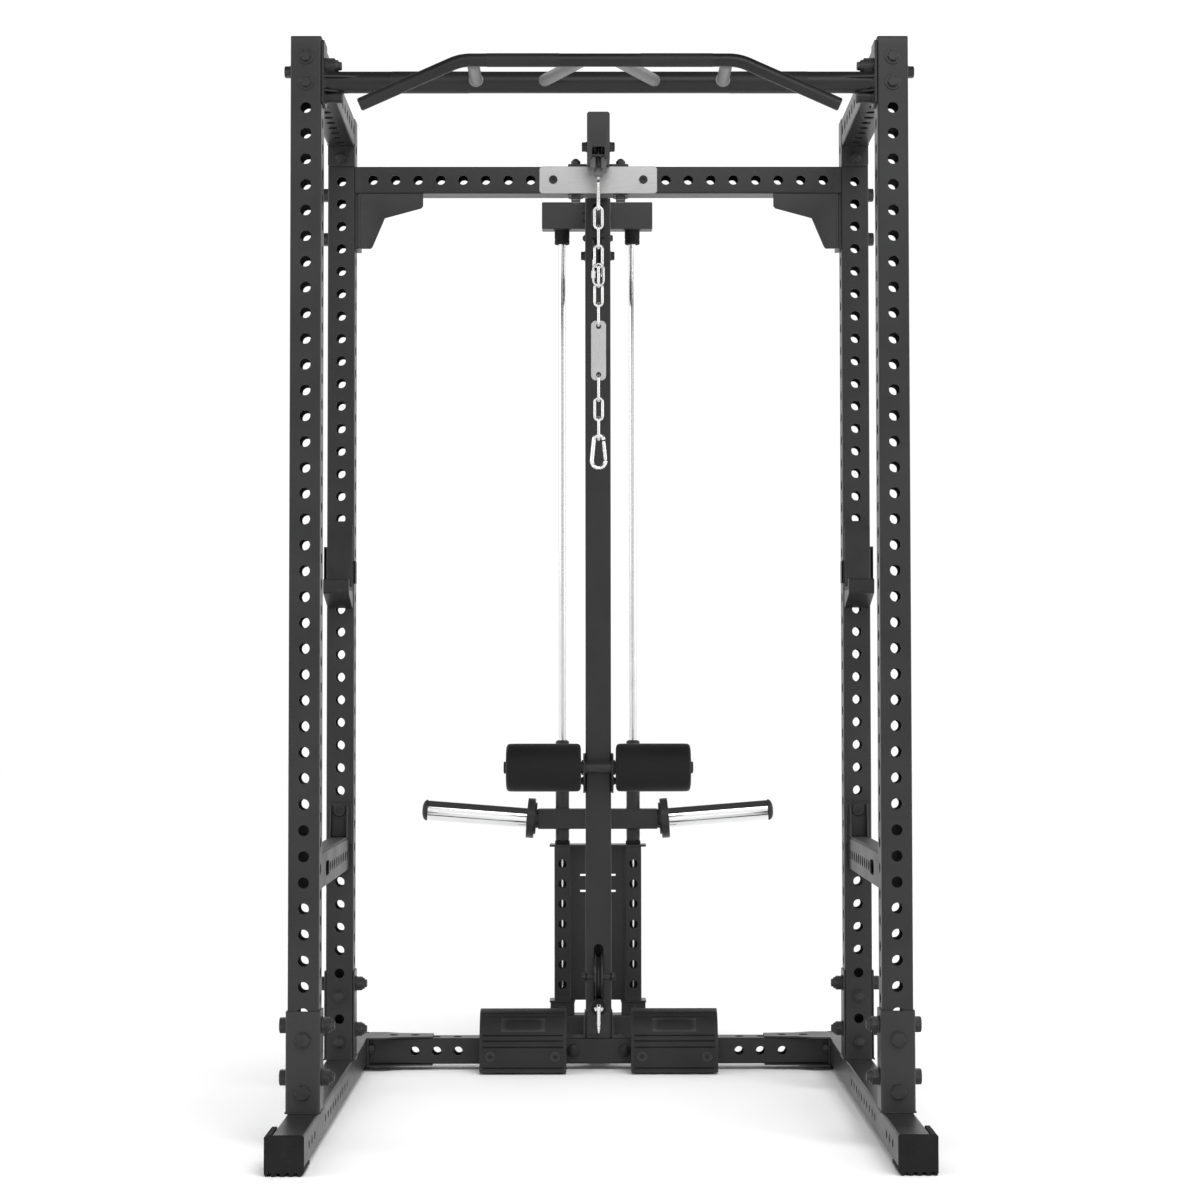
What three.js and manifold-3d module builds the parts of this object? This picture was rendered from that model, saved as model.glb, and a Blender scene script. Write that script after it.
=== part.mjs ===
// Power cage with a plate-loaded lat tower.
// Millimetres, +Z up, -Y is the front that the user steps in from, +X is to the right.
// Inside the model, y = 0 is the front face of the front uprights and z = 0 is the floor;
// the whole model is then moved along Y so that its origin is the centre of its footprint.

import * as THREE from 'three';
import { mergeVertices } from 'three/addons/utils/BufferGeometryUtils.js';
import Module from 'manifold-3d';

const wasm = await Module();
wasm.setup();

// ---------------------------------------------------------------- driving dimensions
const GAP = 0.3; // clearance between touching pieces
const TUBE = 60; // square frame tube
const WALL = 3;
const BASE_Z = 14; // underside of the floor tubes
const BASE_TOP = BASE_Z + TUBE;
const POST_X = 570; // upright centre planes
const POST_IN = POST_X - TUBE / 2;
const POST_OUT = POST_X + TUBE / 2;
const POST_TOP = 2154;
const REAR_Y = 720; // front face of the rear uprights
const HOLE_PITCH = 50;
const FIRST_HOLE_Z = 114;
const HOLE = 21; // across the pin holes, which are square here

const FRONT_END_Y = -250; // front of the front feet
const BEAM_REAR_Y = 1195; // rear of the rear feet
const CROSS_Y = 1085; // front face of the lower crossbeam and of the column
const STAND_Y = 1545; // plane of the guide rods
const FLANGE_R = 50; // stop disc of the plate sleeves, the rearmost piece
const REAR_END_Y = STAND_Y + FLANGE_R;
const CENTRE_Y = (FRONT_END_Y + REAR_END_Y) / 2;

const ROD_X = 89;
const ROD_R = 10;
const ARM_Z = 2047; // underside of the top arm
const ARM_H = 100;
const ARM_W = 50;
const ARM_FRONT_Y = 619;
const CABLE_Y = 645; // lat cable and chain hang here
const PULLEY_GROOVE = 40; // radius of the cable's centre line on the pulleys
const PULLEY_RIM = 45;
const PULLEY_W = 18;
const CABLE_R = 2.5;
const TOP_PULLEY_Z = 2083;
const FRONT_PULLEY_Y = CABLE_Y + PULLEY_GROOVE;
const REAR_PULLEY_Y = STAND_Y - PULLEY_GROOVE;
const ROW_DROP_Y = 1528; // row cable comes down to the carriage here
const ROW_PULLEY_Y = ROW_DROP_Y - PULLEY_GROOVE;
const ROW_PULLEY_Z = 1918;
const COLUMN_PULLEY_Y = 1135;
const LOW_PULLEY = { y: 1090, z: 216, groove: 48, rim: 53 };

const ROLLER_Y = 1057;
const ROLLER_Z = 705;
const BALL_Z = 2014;
const BALL_R = 11;
const WIRE = 6; // chain wire
const LUG_TOP = 640; // top of the carriage's cable lug
const ROW_BALL = { y: 1034, z: 152, r: 19 };
const ROW_PULL = 14.44; // degrees that the row cable falls from the low pulley to its ball
const ROW_PIN_Y = ROW_BALL.y - ROW_BALL.r - 15; // pin of the shackle that the row hook hangs on

// ---------------------------------------------------------------- materials
function paint(colour, roughness, metalness) {
  return new THREE.MeshStandardMaterial({ color: colour, roughness, metalness });
}
const POWDER = paint(0x464646, 0.55, 0.2);
const RUBBER = paint(0x2d2d2d, 0.85, 0);
const PLASTIC = paint(0x393939, 0.6, 0);
const FOAM = paint(0x2e2e2e, 0.9, 0);
const CHROME = paint(0xe6e6e6, 0.12, 1);
const STEEL = paint(0xaaaaaa, 0.35, 1);
const ZINC = paint(0xc8c8c6, 0.3, 1);
const NYLON = paint(0x202020, 0.5, 0);
const CABLE_COAT = paint(0x161616, 0.4, 0);

// ---------------------------------------------------------------- solids
function solid(geometry) {
  const bare = geometry.index ? geometry.toNonIndexed() : geometry.clone();
  for (const name of ['normal', 'uv']) bare.deleteAttribute(name);
  const welded = mergeVertices(bare, 1e-4);
  const corners = welded.index.array;
  const kept = [];
  for (let i = 0; i < corners.length; i += 3) {
    const [a, b, c] = corners.slice(i, i + 3);
    if (a !== b && b !== c && c !== a) kept.push(a, b, c);
  }
  return new wasm.Manifold(new wasm.Mesh({
    numProp: 3,
    vertProperties: new Float32Array(welded.attributes.position.array),
    triVerts: new Uint32Array(kept),
  }));
}

function toGeometry(body) {
  const mesh = body.getMesh();
  const geometry = new THREE.BufferGeometry();
  geometry.setAttribute('position', new THREE.BufferAttribute(new Float32Array(mesh.vertProperties), 3));
  geometry.setIndex(new THREE.BufferAttribute(new Uint32Array(mesh.triVerts), 1));
  return geometry;
}

function join(...bodies) {
  return bodies.reduce((sum, body) => sum.add(body));
}

// A block between two corners.
function block(x0, x1, y0, y1, z0, z1) {
  const geometry = new THREE.BoxGeometry(x1 - x0, y1 - y0, z1 - z0);
  geometry.translate((x0 + x1) / 2, (y0 + y1) / 2, (z0 + z1) / 2);
  return solid(geometry);
}

// A square pin hole's cutter through 'length' along 'x' or 'y', centred on [x, y, z].
function pinHole(axis, length, [x, y, z]) {
  const [dx, dy] = axis === 'x' ? [length / 2, HOLE / 2] : [HOLE / 2, length / 2];
  return block(x - dx, x + dx, y - dy, y + dy, z - HOLE / 2, z + HOLE / 2);
}

// A cylinder along 'x', 'y' or 'z', centred on [x, y, z].
function round(axis, radius, length, [x, y, z], sides = 16) {
  const geometry = new THREE.CylinderGeometry(radius, radius, length, sides);
  if (axis === 'x') geometry.rotateZ(Math.PI / 2);
  if (axis === 'z') geometry.rotateX(Math.PI / 2);
  geometry.translate(x, y, z);
  return solid(geometry);
}

// An outline drawn in the XY, YZ or XZ plane and given a thickness along the third axis.
function prism(plane, outline, from, to) {
  const shape = outline instanceof THREE.Shape
    ? outline
    : new THREE.Shape(outline.map(([u, v]) => new THREE.Vector2(u, v)));
  const geometry = new THREE.ExtrudeGeometry(shape, {
    depth: to - from, bevelEnabled: false, curveSegments: 4,
  });
  geometry.translate(0, 0, from);
  const order = {
    xy: [[1, 0, 0], [0, 1, 0], [0, 0, 1]],
    yz: [[0, 1, 0], [0, 0, 1], [1, 0, 0]],
    xz: [[1, 0, 0], [0, 0, 1], [0, -1, 0]],
  }[plane];
  const [u, v, w] = order.map((axis) => new THREE.Vector3(...axis));
  geometry.applyMatrix4(new THREE.Matrix4().makeBasis(u, v, w));
  return solid(geometry);
}

// In the XZ plane the thickness runs along -Y, so y0 and y1 swap sign here.
function frontPlate(outline, y0, y1) {
  return prism('xz', outline, -y1, -y0);
}

// A ring profile [radius, height] turned about an axis through [x, y, z].
function turned(profile, axis, [x, y, z], sides = 16) {
  const points = profile.map(([radius, height]) => new THREE.Vector2(radius, height));
  const geometry = new THREE.LatheGeometry(points, sides);
  if (axis === 'x') geometry.rotateZ(-Math.PI / 2);
  if (axis === 'z') geometry.rotateX(Math.PI / 2);
  geometry.translate(x, y, z);
  return outward(geometry);
}

function flipped(geometry) {
  const corners = geometry.index.array;
  for (let i = 0; i < corners.length; i += 3) {
    [corners[i], corners[i + 1]] = [corners[i + 1], corners[i]];
  }
  return geometry;
}

// The solid of a turned geometry, whichever way its profile was drawn.
function outward(geometry) {
  const body = solid(geometry);
  return body.volume() > 0 ? body : solid(flipped(geometry));
}

// The same body reflected in the plane X = 0.
function mirrored(body) {
  return solid(flipped(toGeometry(body).scale(-1, 1, 1)));
}

function roundedRect(width, height, radius, cx = 0, cy = 0) {
  const shape = new THREE.Shape();
  const [w, h] = [width / 2, height / 2];
  shape.moveTo(cx - w + radius, cy - h);
  shape.lineTo(cx + w - radius, cy - h);
  shape.absarc(cx + w - radius, cy - h + radius, radius, -Math.PI / 2, 0);
  shape.lineTo(cx + w, cy + h - radius);
  shape.absarc(cx + w - radius, cy + h - radius, radius, 0, Math.PI / 2);
  shape.lineTo(cx - w + radius, cy + h);
  shape.absarc(cx - w + radius, cy + h - radius, radius, Math.PI / 2, Math.PI);
  shape.lineTo(cx - w, cy - h + radius);
  shape.absarc(cx - w + radius, cy - h + radius, radius, Math.PI, Math.PI * 1.5);
  return shape;
}

// A round bar along a curve.
function sweep(curve, radius, sides, steps) {
  const section = new THREE.Shape();
  for (let i = 0; i < sides; i += 1) {
    const turn = (2 * Math.PI * i) / sides;
    const [u, v] = [radius * Math.cos(turn), radius * Math.sin(turn)];
    if (i === 0) section.moveTo(u, v);
    else section.lineTo(u, v);
  }
  section.closePath();
  const geometry = new THREE.ExtrudeGeometry(section, { steps, extrudePath: curve, bevelEnabled: false });
  return solid(geometry);
}

const model = new THREE.Group();
model.position.y = -CENTRE_Y;

function place(name, body, material) {
  const mesh = new THREE.Mesh(toGeometry(body), material);
  mesh.name = name;
  model.add(mesh);
  return mesh;
}

// A copy on the left (-1) or right (+1) side of a body drawn on the right.
function onSide(body, side) {
  return side > 0 ? body : mirrored(body);
}

const SIDES = [['left', -1], ['right', 1]];

// ---------------------------------------------------------------- frame
function hollowTube(x0, x1, y0, y1, z0, z1, axis, wall = WALL) {
  const inner = [x0 + wall, x1 - wall, y0 + wall, y1 - wall, z0 + wall, z1 - wall];
  const along = { x: 0, y: 2, z: 4 }[axis];
  inner[along] = [x0, y0, z0][along / 2] - 1;
  inner[along + 1] = [x1, y1, z1][along / 2] + 1;
  return block(x0, x1, y0, y1, z0, z1).subtract(block(...inner));
}

function baseBeam() {
  return hollowTube(POST_IN, POST_OUT, FRONT_END_Y + 5, BEAM_REAR_Y - 5, BASE_Z, BASE_TOP, 'y');
}

// A rubber foot that wraps the end, the outer side and the underside of a floor beam.
function footCap(endY, direction) {
  const capLength = 100;
  const [outside, bottom] = [13, 1];
  const y = [endY, endY + direction * capLength].sort((a, b) => a - b);
  const inner = [endY + direction * (5 - GAP), endY + direction * (capLength + 1)].sort((a, b) => a - b);
  const outline = [
    [POST_IN + 6, 0], [POST_OUT + outside - 6, 0], [POST_OUT + outside, 6],
    [POST_OUT + outside, BASE_TOP + bottom], [POST_IN, BASE_TOP + bottom], [POST_IN, 6],
  ];
  return frontPlate(outline, ...y)
    .subtract(block(POST_IN - 1, POST_OUT + GAP, ...inner, BASE_Z - GAP, BASE_TOP + bottom + 1));
}

// A U-shaped socket around the foot of an upright, with its bolt heads and nuts.
// The closed side of the U faces away from the cage: outward is -1 at the front, 1 at the rear.
function baseBracket(postY, outward) {
  const plate = 3;
  const top = 269;
  const clear = TUBE / 2 + GAP;
  const middle = postY + TUBE / 2;
  const outer = clear + plate;
  const yRange = [middle - outward * (TUBE / 2), middle + outward * outer].sort((a, b) => a - b);
  const cutRange = [middle - outward * (TUBE / 2 + 1), middle + outward * clear].sort((a, b) => a - b);
  const socket = block(POST_X - outer, POST_X + outer, ...yRange, BASE_TOP + GAP, top)
    .subtract(block(POST_X - clear, POST_X + clear, ...cutRange, BASE_TOP, top + 1));
  const parts = [socket];
  for (const z of [FIRST_HOLE_Z, FIRST_HOLE_Z + 2 * HOLE_PITCH]) {
    parts.push(round('y', 15, 10, [POST_X, middle + outward * (outer + 4), z], 8));
  }
  for (const z of [FIRST_HOLE_Z + HOLE_PITCH / 2, FIRST_HOLE_Z + 2.5 * HOLE_PITCH]) {
    parts.push(round('x', 17, 16, [POST_X + outer + 7, middle, z], 6));
    parts.push(round('x', 17, 25, [POST_X - outer - 12, middle, z], 6));
  }
  return join(...parts);
}

// Square tube, open at its foot, closed by its top plug, with pin holes through front and back.
function upright(postY) {
  const [foot, plug] = [BASE_TOP + GAP, 3];
  let post = block(POST_IN, POST_OUT, postY, postY + TUBE, foot, POST_TOP)
    .subtract(block(POST_IN + WALL, POST_OUT - WALL, postY + WALL, postY + TUBE - WALL,
      foot - 1, POST_TOP - plug));
  for (let z = FIRST_HOLE_Z; z <= POST_TOP - 40; z += HOLE_PITCH) {
    post = post.subtract(pinHole('y', TUBE + 2, [POST_X, postY + TUBE / 2, z]));
  }
  return post;
}

// Beam between the tops of a front and a rear upright, with its bolted end plates.
function topSideBeam() {
  const [z0, z1] = [2092, 2152];
  const [y0, y1] = [TUBE + GAP, REAR_Y - GAP];
  const plate = 5;
  let beam = join(
    hollowTube(POST_IN, POST_OUT, y0 + 1, y1 - 1, z0, z1, 'y'),
    block(POST_IN, POST_OUT, y0, y0 + plate, ARM_Z, POST_TOP - 1),
    block(POST_IN, POST_OUT, y1 - plate, y1, ARM_Z, POST_TOP - 1),
  );
  for (let y = 438; y <= 688; y += HOLE_PITCH) {
    beam = beam.subtract(pinHole('x', 8, [POST_IN, y, (z0 + z1) / 2]));
  }
  return beam;
}

function rearTopCrossbeam() {
  const z0 = 1987;
  let beam = hollowTube(-POST_IN + GAP, POST_IN - GAP, REAR_Y, REAR_Y + TUBE, z0, z0 + TUBE - GAP, 'x');
  for (let x = 150; x <= 500; x += HOLE_PITCH) {
    for (const side of [-1, 1]) {
      beam = beam.subtract(pinHole('y', TUBE + 2, [side * x, REAR_Y + TUBE / 2, z0 + TUBE / 2]));
    }
  }
  return beam;
}

// Folded gusset under the end of the rear top crossbeam: a front sheet, a side sheet and a flange.
function cornerGusset() {
  const [x, z] = [POST_IN - GAP, 1987 - GAP];
  const sheet = 5;
  const outer = x - sheet;
  const low = z - 123;
  const outline = [
    [outer, z], [outer - 146, z], [outer - 146, z - 30], [outer - 61, z - 55], [outer - 36, z - 116],
    [outer - 32, low], [outer, low],
  ];
  return join(
    frontPlate(outline, REAR_Y, REAR_Y + sheet),
    block(outer - sheet, outer, REAR_Y, REAR_Y + TUBE, low, z),
    block(outer - 1, x, REAR_Y + sheet, REAR_Y + TUBE, low, z),
  );
}

function nameplate() {
  return frontPlate(roundedRect(261, 60, 5, 0, 2016.5), REAR_Y - GAP - 3, REAR_Y - GAP);
}

// Crossbeam on the floor, with end plates and tapered gusset plates.
function lowerCrossbeam() {
  const end = POST_IN - GAP;
  const [y0, y1] = [CROSS_Y, CROSS_Y + TUBE];
  const flare = 24;
  const parts = [hollowTube(-end + 1, end - 1, y0, y1, BASE_Z, BASE_TOP, 'x')];
  for (const [, side] of SIDES) {
    const gusset = prism('xy', [
      [end, y0 - flare], [end, y1 + flare], [end - 40, y1 + flare], [end - 75, y1 + 8], [end - 140, y1 - 1],
      [end - 140, y0 + 1], [end - 75, y0 - 8], [end - 40, y0 - flare],
    ].reverse(), BASE_TOP - 1, BASE_TOP + 4);
    const flange = block(end - 6, end, y0 - flare, y1 + flare, BASE_Z, BASE_TOP + 4)
      .subtract(block(end - 7, end + 1, y0 + 15, y1 - 15, BASE_Z + 15, BASE_TOP - 15));
    parts.push(onSide(join(gusset, flange), side));
  }
  return join(...parts);
}

// Straight bar, the bent multi-grip bar in front of it and the grips between them, all welded,
// on a flange at each upright.
function pullUpBar() {
  const barZ = 2069;
  const [barY, barR] = [27, 21];
  const [gripY, gripR] = [-150, 12.5];
  const end = POST_IN - GAP;
  const bend = Math.PI * (24 / 180);
  const [bendX, tipX] = [268, 451];
  const tipDrop = (tipX - bendX) * Math.tan(bend);
  const front = new THREE.CatmullRomCurve3([
    [-tipX, -tipDrop], [-bendX - 25, -25 * Math.tan(bend)], [-bendX, -4], [-bendX + 30, 0],
    [-bendX / 2, 0], [0, 0], [bendX / 2, 0],
    [bendX - 30, 0], [bendX, -4], [bendX + 25, -25 * Math.tan(bend)], [tipX, -tipDrop],
  ].map(([x, dz]) => new THREE.Vector3(x, gripY, barZ + dz)), false, 'centripetal');
  const parts = [
    round('x', barR, 2 * end - 2, [0, barY, barZ], 16),
    sweep(front, gripR, 8, 26),
  ];
  const length = barY - gripY;
  for (const [, side] of SIDES) {
    const flange = block(end - 5, end, 0, TUBE, 2023, 2147);
    const ribs = frontPlate([
      [end - 4, barZ + 57], [end - 40, barZ + 18], [end - 40, barZ - 18], [end - 4, barZ - 40],
    ], barY - 3, barY + 3);
    const outerGrip = round('y', gripR - 0.5, length, [240, (barY + gripY) / 2, barZ], 8);
    const innerGrip = sweep(new THREE.LineCurve3(
      new THREE.Vector3(34, gripY, barZ), new THREE.Vector3(111, barY, barZ)), gripR - 0.5, 8, 1);
    parts.push(onSide(join(flange, ribs, outerGrip, innerGrip), side));
  }
  return join(...parts);
}

for (const [label, side] of SIDES) {
  place(`base_beam_${label}`, onSide(baseBeam(), side), POWDER);
  place(`foot_cap_front_${label}`, onSide(footCap(FRONT_END_Y, 1), side), RUBBER);
  place(`foot_cap_rear_${label}`, onSide(footCap(BEAM_REAR_Y, -1), side), RUBBER);
  place(`base_bracket_front_${label}`, onSide(baseBracket(0, -1), side), POWDER);
  place(`base_bracket_rear_${label}`, onSide(baseBracket(REAR_Y, 1), side), POWDER);
  place(`upright_front_${label}`, onSide(upright(0), side), POWDER);
  place(`upright_rear_${label}`, onSide(upright(REAR_Y), side), POWDER);
  place(`top_side_beam_${label}`, onSide(topSideBeam(), side), POWDER);
  place(`corner_gusset_${label}`, onSide(cornerGusset(), side), POWDER);
}
place('rear_top_crossbeam', rearTopCrossbeam(), POWDER);
place('nameplate', nameplate(), STEEL);
place('lower_crossbeam', lowerCrossbeam(), POWDER);
place('pull_up_bar', pullUpBar(), POWDER);

// ---------------------------------------------------------------- lat tower
// Bolt along X that a pulley turns on, with a hexagon head and a nut outside the cheeks.
function axle(y, z, half) {
  const head = 8;
  return join(
    round('x', 4.5, 2 * half + 2, [0, y, z], 12),
    round('x', 9.5, head, [half + head / 2, y, z], 6),
    round('x', 9.5, head, [-half - head / 2, y, z], 6),
  );
}

// Square column on the lower crossbeam, slotted for the low pulley and for the upper row pulley.
function column() {
  const [y0, y1] = [CROSS_Y, CROSS_Y + TUBE];
  const [foot, top] = [BASE_TOP + GAP, ARM_Z - GAP];
  const skirt = frontPlate([[-36, foot], [36, foot], [32, foot + 60], [-32, foot + 60]], y0 + 2, y1 - 2);
  return join(block(-30, 30, y0, y1, foot, top), skirt)
    .subtract(block(-27, 27, y0 + WALL, y1 - WALL, foot - 1, top + 1))
    .subtract(block(-11, 11, y0 - 1, y1 + 12, 156, 292))
    .subtract(block(-14, 14, y0 - 1, y1 + 1, 1858, top - 8))
    .add(axle(COLUMN_PULLEY_Y, ROW_PULLEY_Z, TUBE / 2))
    .add(axle(LOW_PULLEY.y, LOW_PULLEY.z, TUBE / 2));
}

// Arm over the cage, with the crosspiece that holds the guide rods and the row pulley's bracket.
function topArm() {
  const [half, wall] = [ARM_W / 2, 4];
  const [z0, z1] = [ARM_Z, ARM_Z + ARM_H];
  const rear = STAND_Y + 22;
  const wings = block(-140, 140, STAND_Y - 22, rear, 2054, 2122);
  const cheeks = block(-17, 17, ROW_PULLEY_Y - 22, ROW_PULLEY_Y + 22, ROW_PULLEY_Z - 24, z0 + 2);
  return join(block(-half, half, ARM_FRONT_Y, rear, z0, z1), wings, cheeks)
    .subtract(block(-half + wall, half - wall, ARM_FRONT_Y + wall, rear - wall, z0 + wall, z1 - wall))
    .subtract(block(-13.5, 13.5, ARM_FRONT_Y - 1, FRONT_PULLEY_Y + 55, z0 - 1, 2108))
    .subtract(block(-13.5, 13.5, REAR_PULLEY_Y - 50, rear - 8, z0 - 1, z0 + 10))
    .subtract(block(-11.5, 11.5, ROW_PULLEY_Y - 60, ROW_PULLEY_Y + 60, ROW_PULLEY_Z - 30, z0 + 10))
    .add(axle(FRONT_PULLEY_Y, TOP_PULLEY_Z, half))
    .add(axle(REAR_PULLEY_Y, TOP_PULLEY_Z, half))
    .add(axle(ROW_PULLEY_Y, ROW_PULLEY_Z, 17));
}

function guideRod() {
  return round('z', ROD_R, 2053.7 - 108.3, [ROD_X, STAND_Y, (2053.7 + 108.3) / 2], 16);
}

// Rubber buffer that the carriage meets at the top of its travel.
function rodBush() {
  const [z0, z1] = [2017.7, 2053.7];
  return round('z', 19, z1 - z0, [ROD_X, STAND_Y, (z0 + z1) / 2], 16)
    .subtract(round('z', ROD_R + GAP + 0.2, z1 - z0 + 2, [ROD_X, STAND_Y, (z0 + z1) / 2], 16));
}

// Two hollow legs around the rods, the panel between them, a top plate and the lower buffers.
function weightStand() {
  const [foot, top] = [BASE_TOP + GAP, 499];
  const [y0, y1] = [STAND_Y - 30, STAND_Y + 30];
  const parts = [
    block(-121, 121, y0 - 4, y1 + 4, top - 5, top),
    block(-ROD_X + 18, ROD_X - 18, y0 + 18, y0 + 22, 108, top - 3),
  ];
  for (const [, side] of SIDES) {
    parts.push(onSide(join(
      block(ROD_X - 20, ROD_X + 20, y0, y1, 106, top - 4),
      block(ROD_X - 30, ROD_X + 30, y0, y1, foot, 108),
      round('z', 18.5, 11, [ROD_X, STAND_Y, top + 3.5], 16),
    ), side));
  }
  const bores = SIDES.map(([, side]) => join(
    block(side * ROD_X - 17, side * ROD_X + 17, y0 + WALL, y1 - WALL, 108, top - 6),
    round('z', ROD_R + 0.6, 40, [side * ROD_X, STAND_Y, top], 16),
  ));
  return join(...parts).subtract(bores[0]).subtract(bores[1]);
}

// Floor piece under the stand: a capped crossbar on two pads and the link to the lower crossbeam.
function standBase() {
  const [y0, y1] = [STAND_Y - 30, STAND_Y + 30];
  const [low, high] = [BASE_Z + WALL, BASE_TOP - WALL];
  return join(
    block(-250, 250, y0, y1, BASE_Z, BASE_TOP),
    block(-30, 30, CROSS_Y + TUBE + GAP, y0 + 1, BASE_Z, BASE_TOP),
    block(-246, -196, y0 + 4, y1 - 4, 0, BASE_Z + 1),
    block(196, 246, y0 + 4, y1 - 4, 0, BASE_Z + 1),
  )
    .subtract(block(-247, 247, y0 + WALL, y1 - WALL, low, high))
    .subtract(block(-27, 27, CROSS_Y + TUBE, y0 + WALL + 1, low, high));
}

function rollerBracket() {
  const [inner, plate] = [30.5, 5];
  const [z0, z1] = [645, 737];
  const rear = CROSS_Y + TUBE + 0.5;
  const wrap = block(-inner - plate, inner + plate, ROLLER_Y - 20, rear + plate, z0, z1)
    .subtract(block(-inner, inner, ROLLER_Y - 21, rear, z0 - 1, z1 + 1));
  return wrap.subtract(round('x', 14.3, 100, [0, ROLLER_Y, ROLLER_Z], 16));
}

function rollerAxle() {
  return round('x', 14, 442, [0, ROLLER_Y, ROLLER_Z], 16);
}

function foamRoller() {
  const [x0, x1] = [40, 215];
  return round('x', 56, x1 - x0, [(x0 + x1) / 2, ROLLER_Y, ROLLER_Z], 20)
    .subtract(round('x', 14.4, x1 - x0 + 2, [(x0 + x1) / 2, ROLLER_Y, ROLLER_Z], 16));
}

// Convex plastic plate in front of the lower crossbeam for the feet.
function footPlate() {
  const back = CROSS_Y - GAP;
  const outline = [[back, 4], [1010, 3], [1003, 10]];
  for (let i = 0; i <= 6; i += 1) {
    const turn = (i / 6) * (Math.PI / 2);
    outline.push([1003 + 62 * (1 - Math.cos(turn)), 38 + 102 * Math.sin(turn)]);
  }
  outline.push([1078, 145], [back, 142]);
  return prism('yz', outline.reverse(), 75, 275);
}

// Grooved wheel with a bore, on an axle along X.
function pulley(y, z, groove, rim) {
  const [half, floor] = [PULLEY_W / 2, groove - CABLE_R - 0.5];
  return turned([
    [5, -half], [rim, -half], [rim, -half + 3], [floor, -3], [floor, 3], [rim, half - 3], [rim, half],
    [5, half], [5, -half],
  ], 'x', [0, y, z], 14);
}

for (const [label, side] of SIDES) {
  place(`guide_rod_${label}`, onSide(guideRod(), side), CHROME);
  place(`rod_bush_${label}`, onSide(rodBush(), side), RUBBER);
  place(`foam_roller_${label}`, onSide(foamRoller(), side), FOAM);
  place(`foot_plate_${label}`, onSide(footPlate(), side), PLASTIC);
}
place('column', column(), POWDER);
place('top_arm', topArm(), POWDER);
place('weight_stand', weightStand(), POWDER);
place('stand_base', standBase(), POWDER);
place('roller_bracket', rollerBracket(), POWDER);
place('roller_axle', rollerAxle(), POWDER);
place('front_top_pulley', pulley(FRONT_PULLEY_Y, TOP_PULLEY_Z, PULLEY_GROOVE, PULLEY_RIM), NYLON);
place('rear_top_pulley', pulley(REAR_PULLEY_Y, TOP_PULLEY_Z, PULLEY_GROOVE, PULLEY_RIM), NYLON);
place('column_pulley', pulley(COLUMN_PULLEY_Y, ROW_PULLEY_Z, PULLEY_GROOVE, PULLEY_RIM), NYLON);
place('row_rear_pulley', pulley(ROW_PULLEY_Y, ROW_PULLEY_Z, PULLEY_GROOVE, PULLEY_RIM), NYLON);
place('low_pulley', pulley(LOW_PULLEY.y, LOW_PULLEY.z, LOW_PULLEY.groove, LOW_PULLEY.rim), NYLON);

// ---------------------------------------------------------------- plate carriage
const CARRIAGE_Z = 563; // centre of its crossbar
const SLEEVE_TILT = THREE.MathUtils.degToRad(4.5);

// Turned piece on the tilted axis of the right-hand sleeve. Its profile is
// [radius, distance from the end of the crossbar].
function onSleeve(profile, sides) {
  const points = profile.map(([radius, distance]) => new THREE.Vector2(radius, distance));
  const geometry = new THREE.LatheGeometry(points, sides);
  geometry.rotateZ(-Math.PI / 2);
  geometry.rotateY(-SLEEVE_TILT);
  geometry.translate(150, STAND_Y, CARRIAGE_Z);
  return outward(geometry);
}

// Crossbar with a sliding tube around each guide rod, the cables' lug and the discs that the
// plates stop against.
function carriageFrame() {
  const stop = onSleeve([[0, -8], [24, -8], [24, 5], [40, 5], [40, 9], [FLANGE_R, 9],
    [FLANGE_R, 28], [0, 28]], 20);
  const parts = [
    block(-150, 150, STAND_Y - 25, STAND_Y + 25, CARRIAGE_Z - 25, CARRIAGE_Z + 25),
    block(-5, 5, ROW_DROP_Y - 14, STAND_Y + 14, CARRIAGE_Z + 24, LUG_TOP),
    stop,
    mirrored(stop),
  ];
  for (const x of [-ROD_X, ROD_X]) parts.push(round('z', 17, 758 - 508.8, [x, STAND_Y, 633.4], 16));
  let body = join(...parts);
  for (const x of [-ROD_X, ROD_X]) {
    body = body.subtract(round('z', ROD_R + 0.8, 300, [x, STAND_Y, 633.4], 16));
  }
  return body;
}

// Chromed tube that the plates slide onto.
function loadingSleeve() {
  return onSleeve([[0, 28 + GAP], [25, 28 + GAP], [25, 279], [0, 279]], 20);
}

function sleeveCap() {
  return onSleeve([
    [0, 279 + GAP], [26, 279 + GAP], [26, 283], [22, 289], [12, 292], [0, 292.5],
  ], 16);
}

for (const [label, side] of SIDES) {
  place(`loading_sleeve_${label}`, onSide(loadingSleeve(), side), CHROME);
  place(`sleeve_cap_${label}`, onSide(sleeveCap(), side), PLASTIC);
}
place('carriage_frame', carriageFrame(), POWDER);

// ---------------------------------------------------------------- cables and chain
// A path with one ring of the swept tube at each of its points.
class Route extends THREE.Curve {
  constructor(points) {
    super();
    this.points = points;
  }

  getPoint(t) {
    const last = this.points.length - 1;
    const i = Math.min(Math.floor(t * last + 1e-6), last - 1);
    return this.points[i].clone().lerp(this.points[i + 1], t * last - i);
  }

  getPointAt(u) {
    return this.getPoint(u);
  }

  getTangentAt(u) {
    const i = Math.round(u * (this.points.length - 1));
    const at = (k) => this.points[Math.min(Math.max(k, 0), this.points.length - 1)];
    const into = at(i).clone().sub(at(i - 1)).normalize();
    const out = at(i + 1).clone().sub(at(i)).normalize();
    return into.add(out).normalize();
  }
}

function along(points, radius, sides) {
  return sweep(new Route(points), radius, sides, points.length - 1);
}

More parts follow.
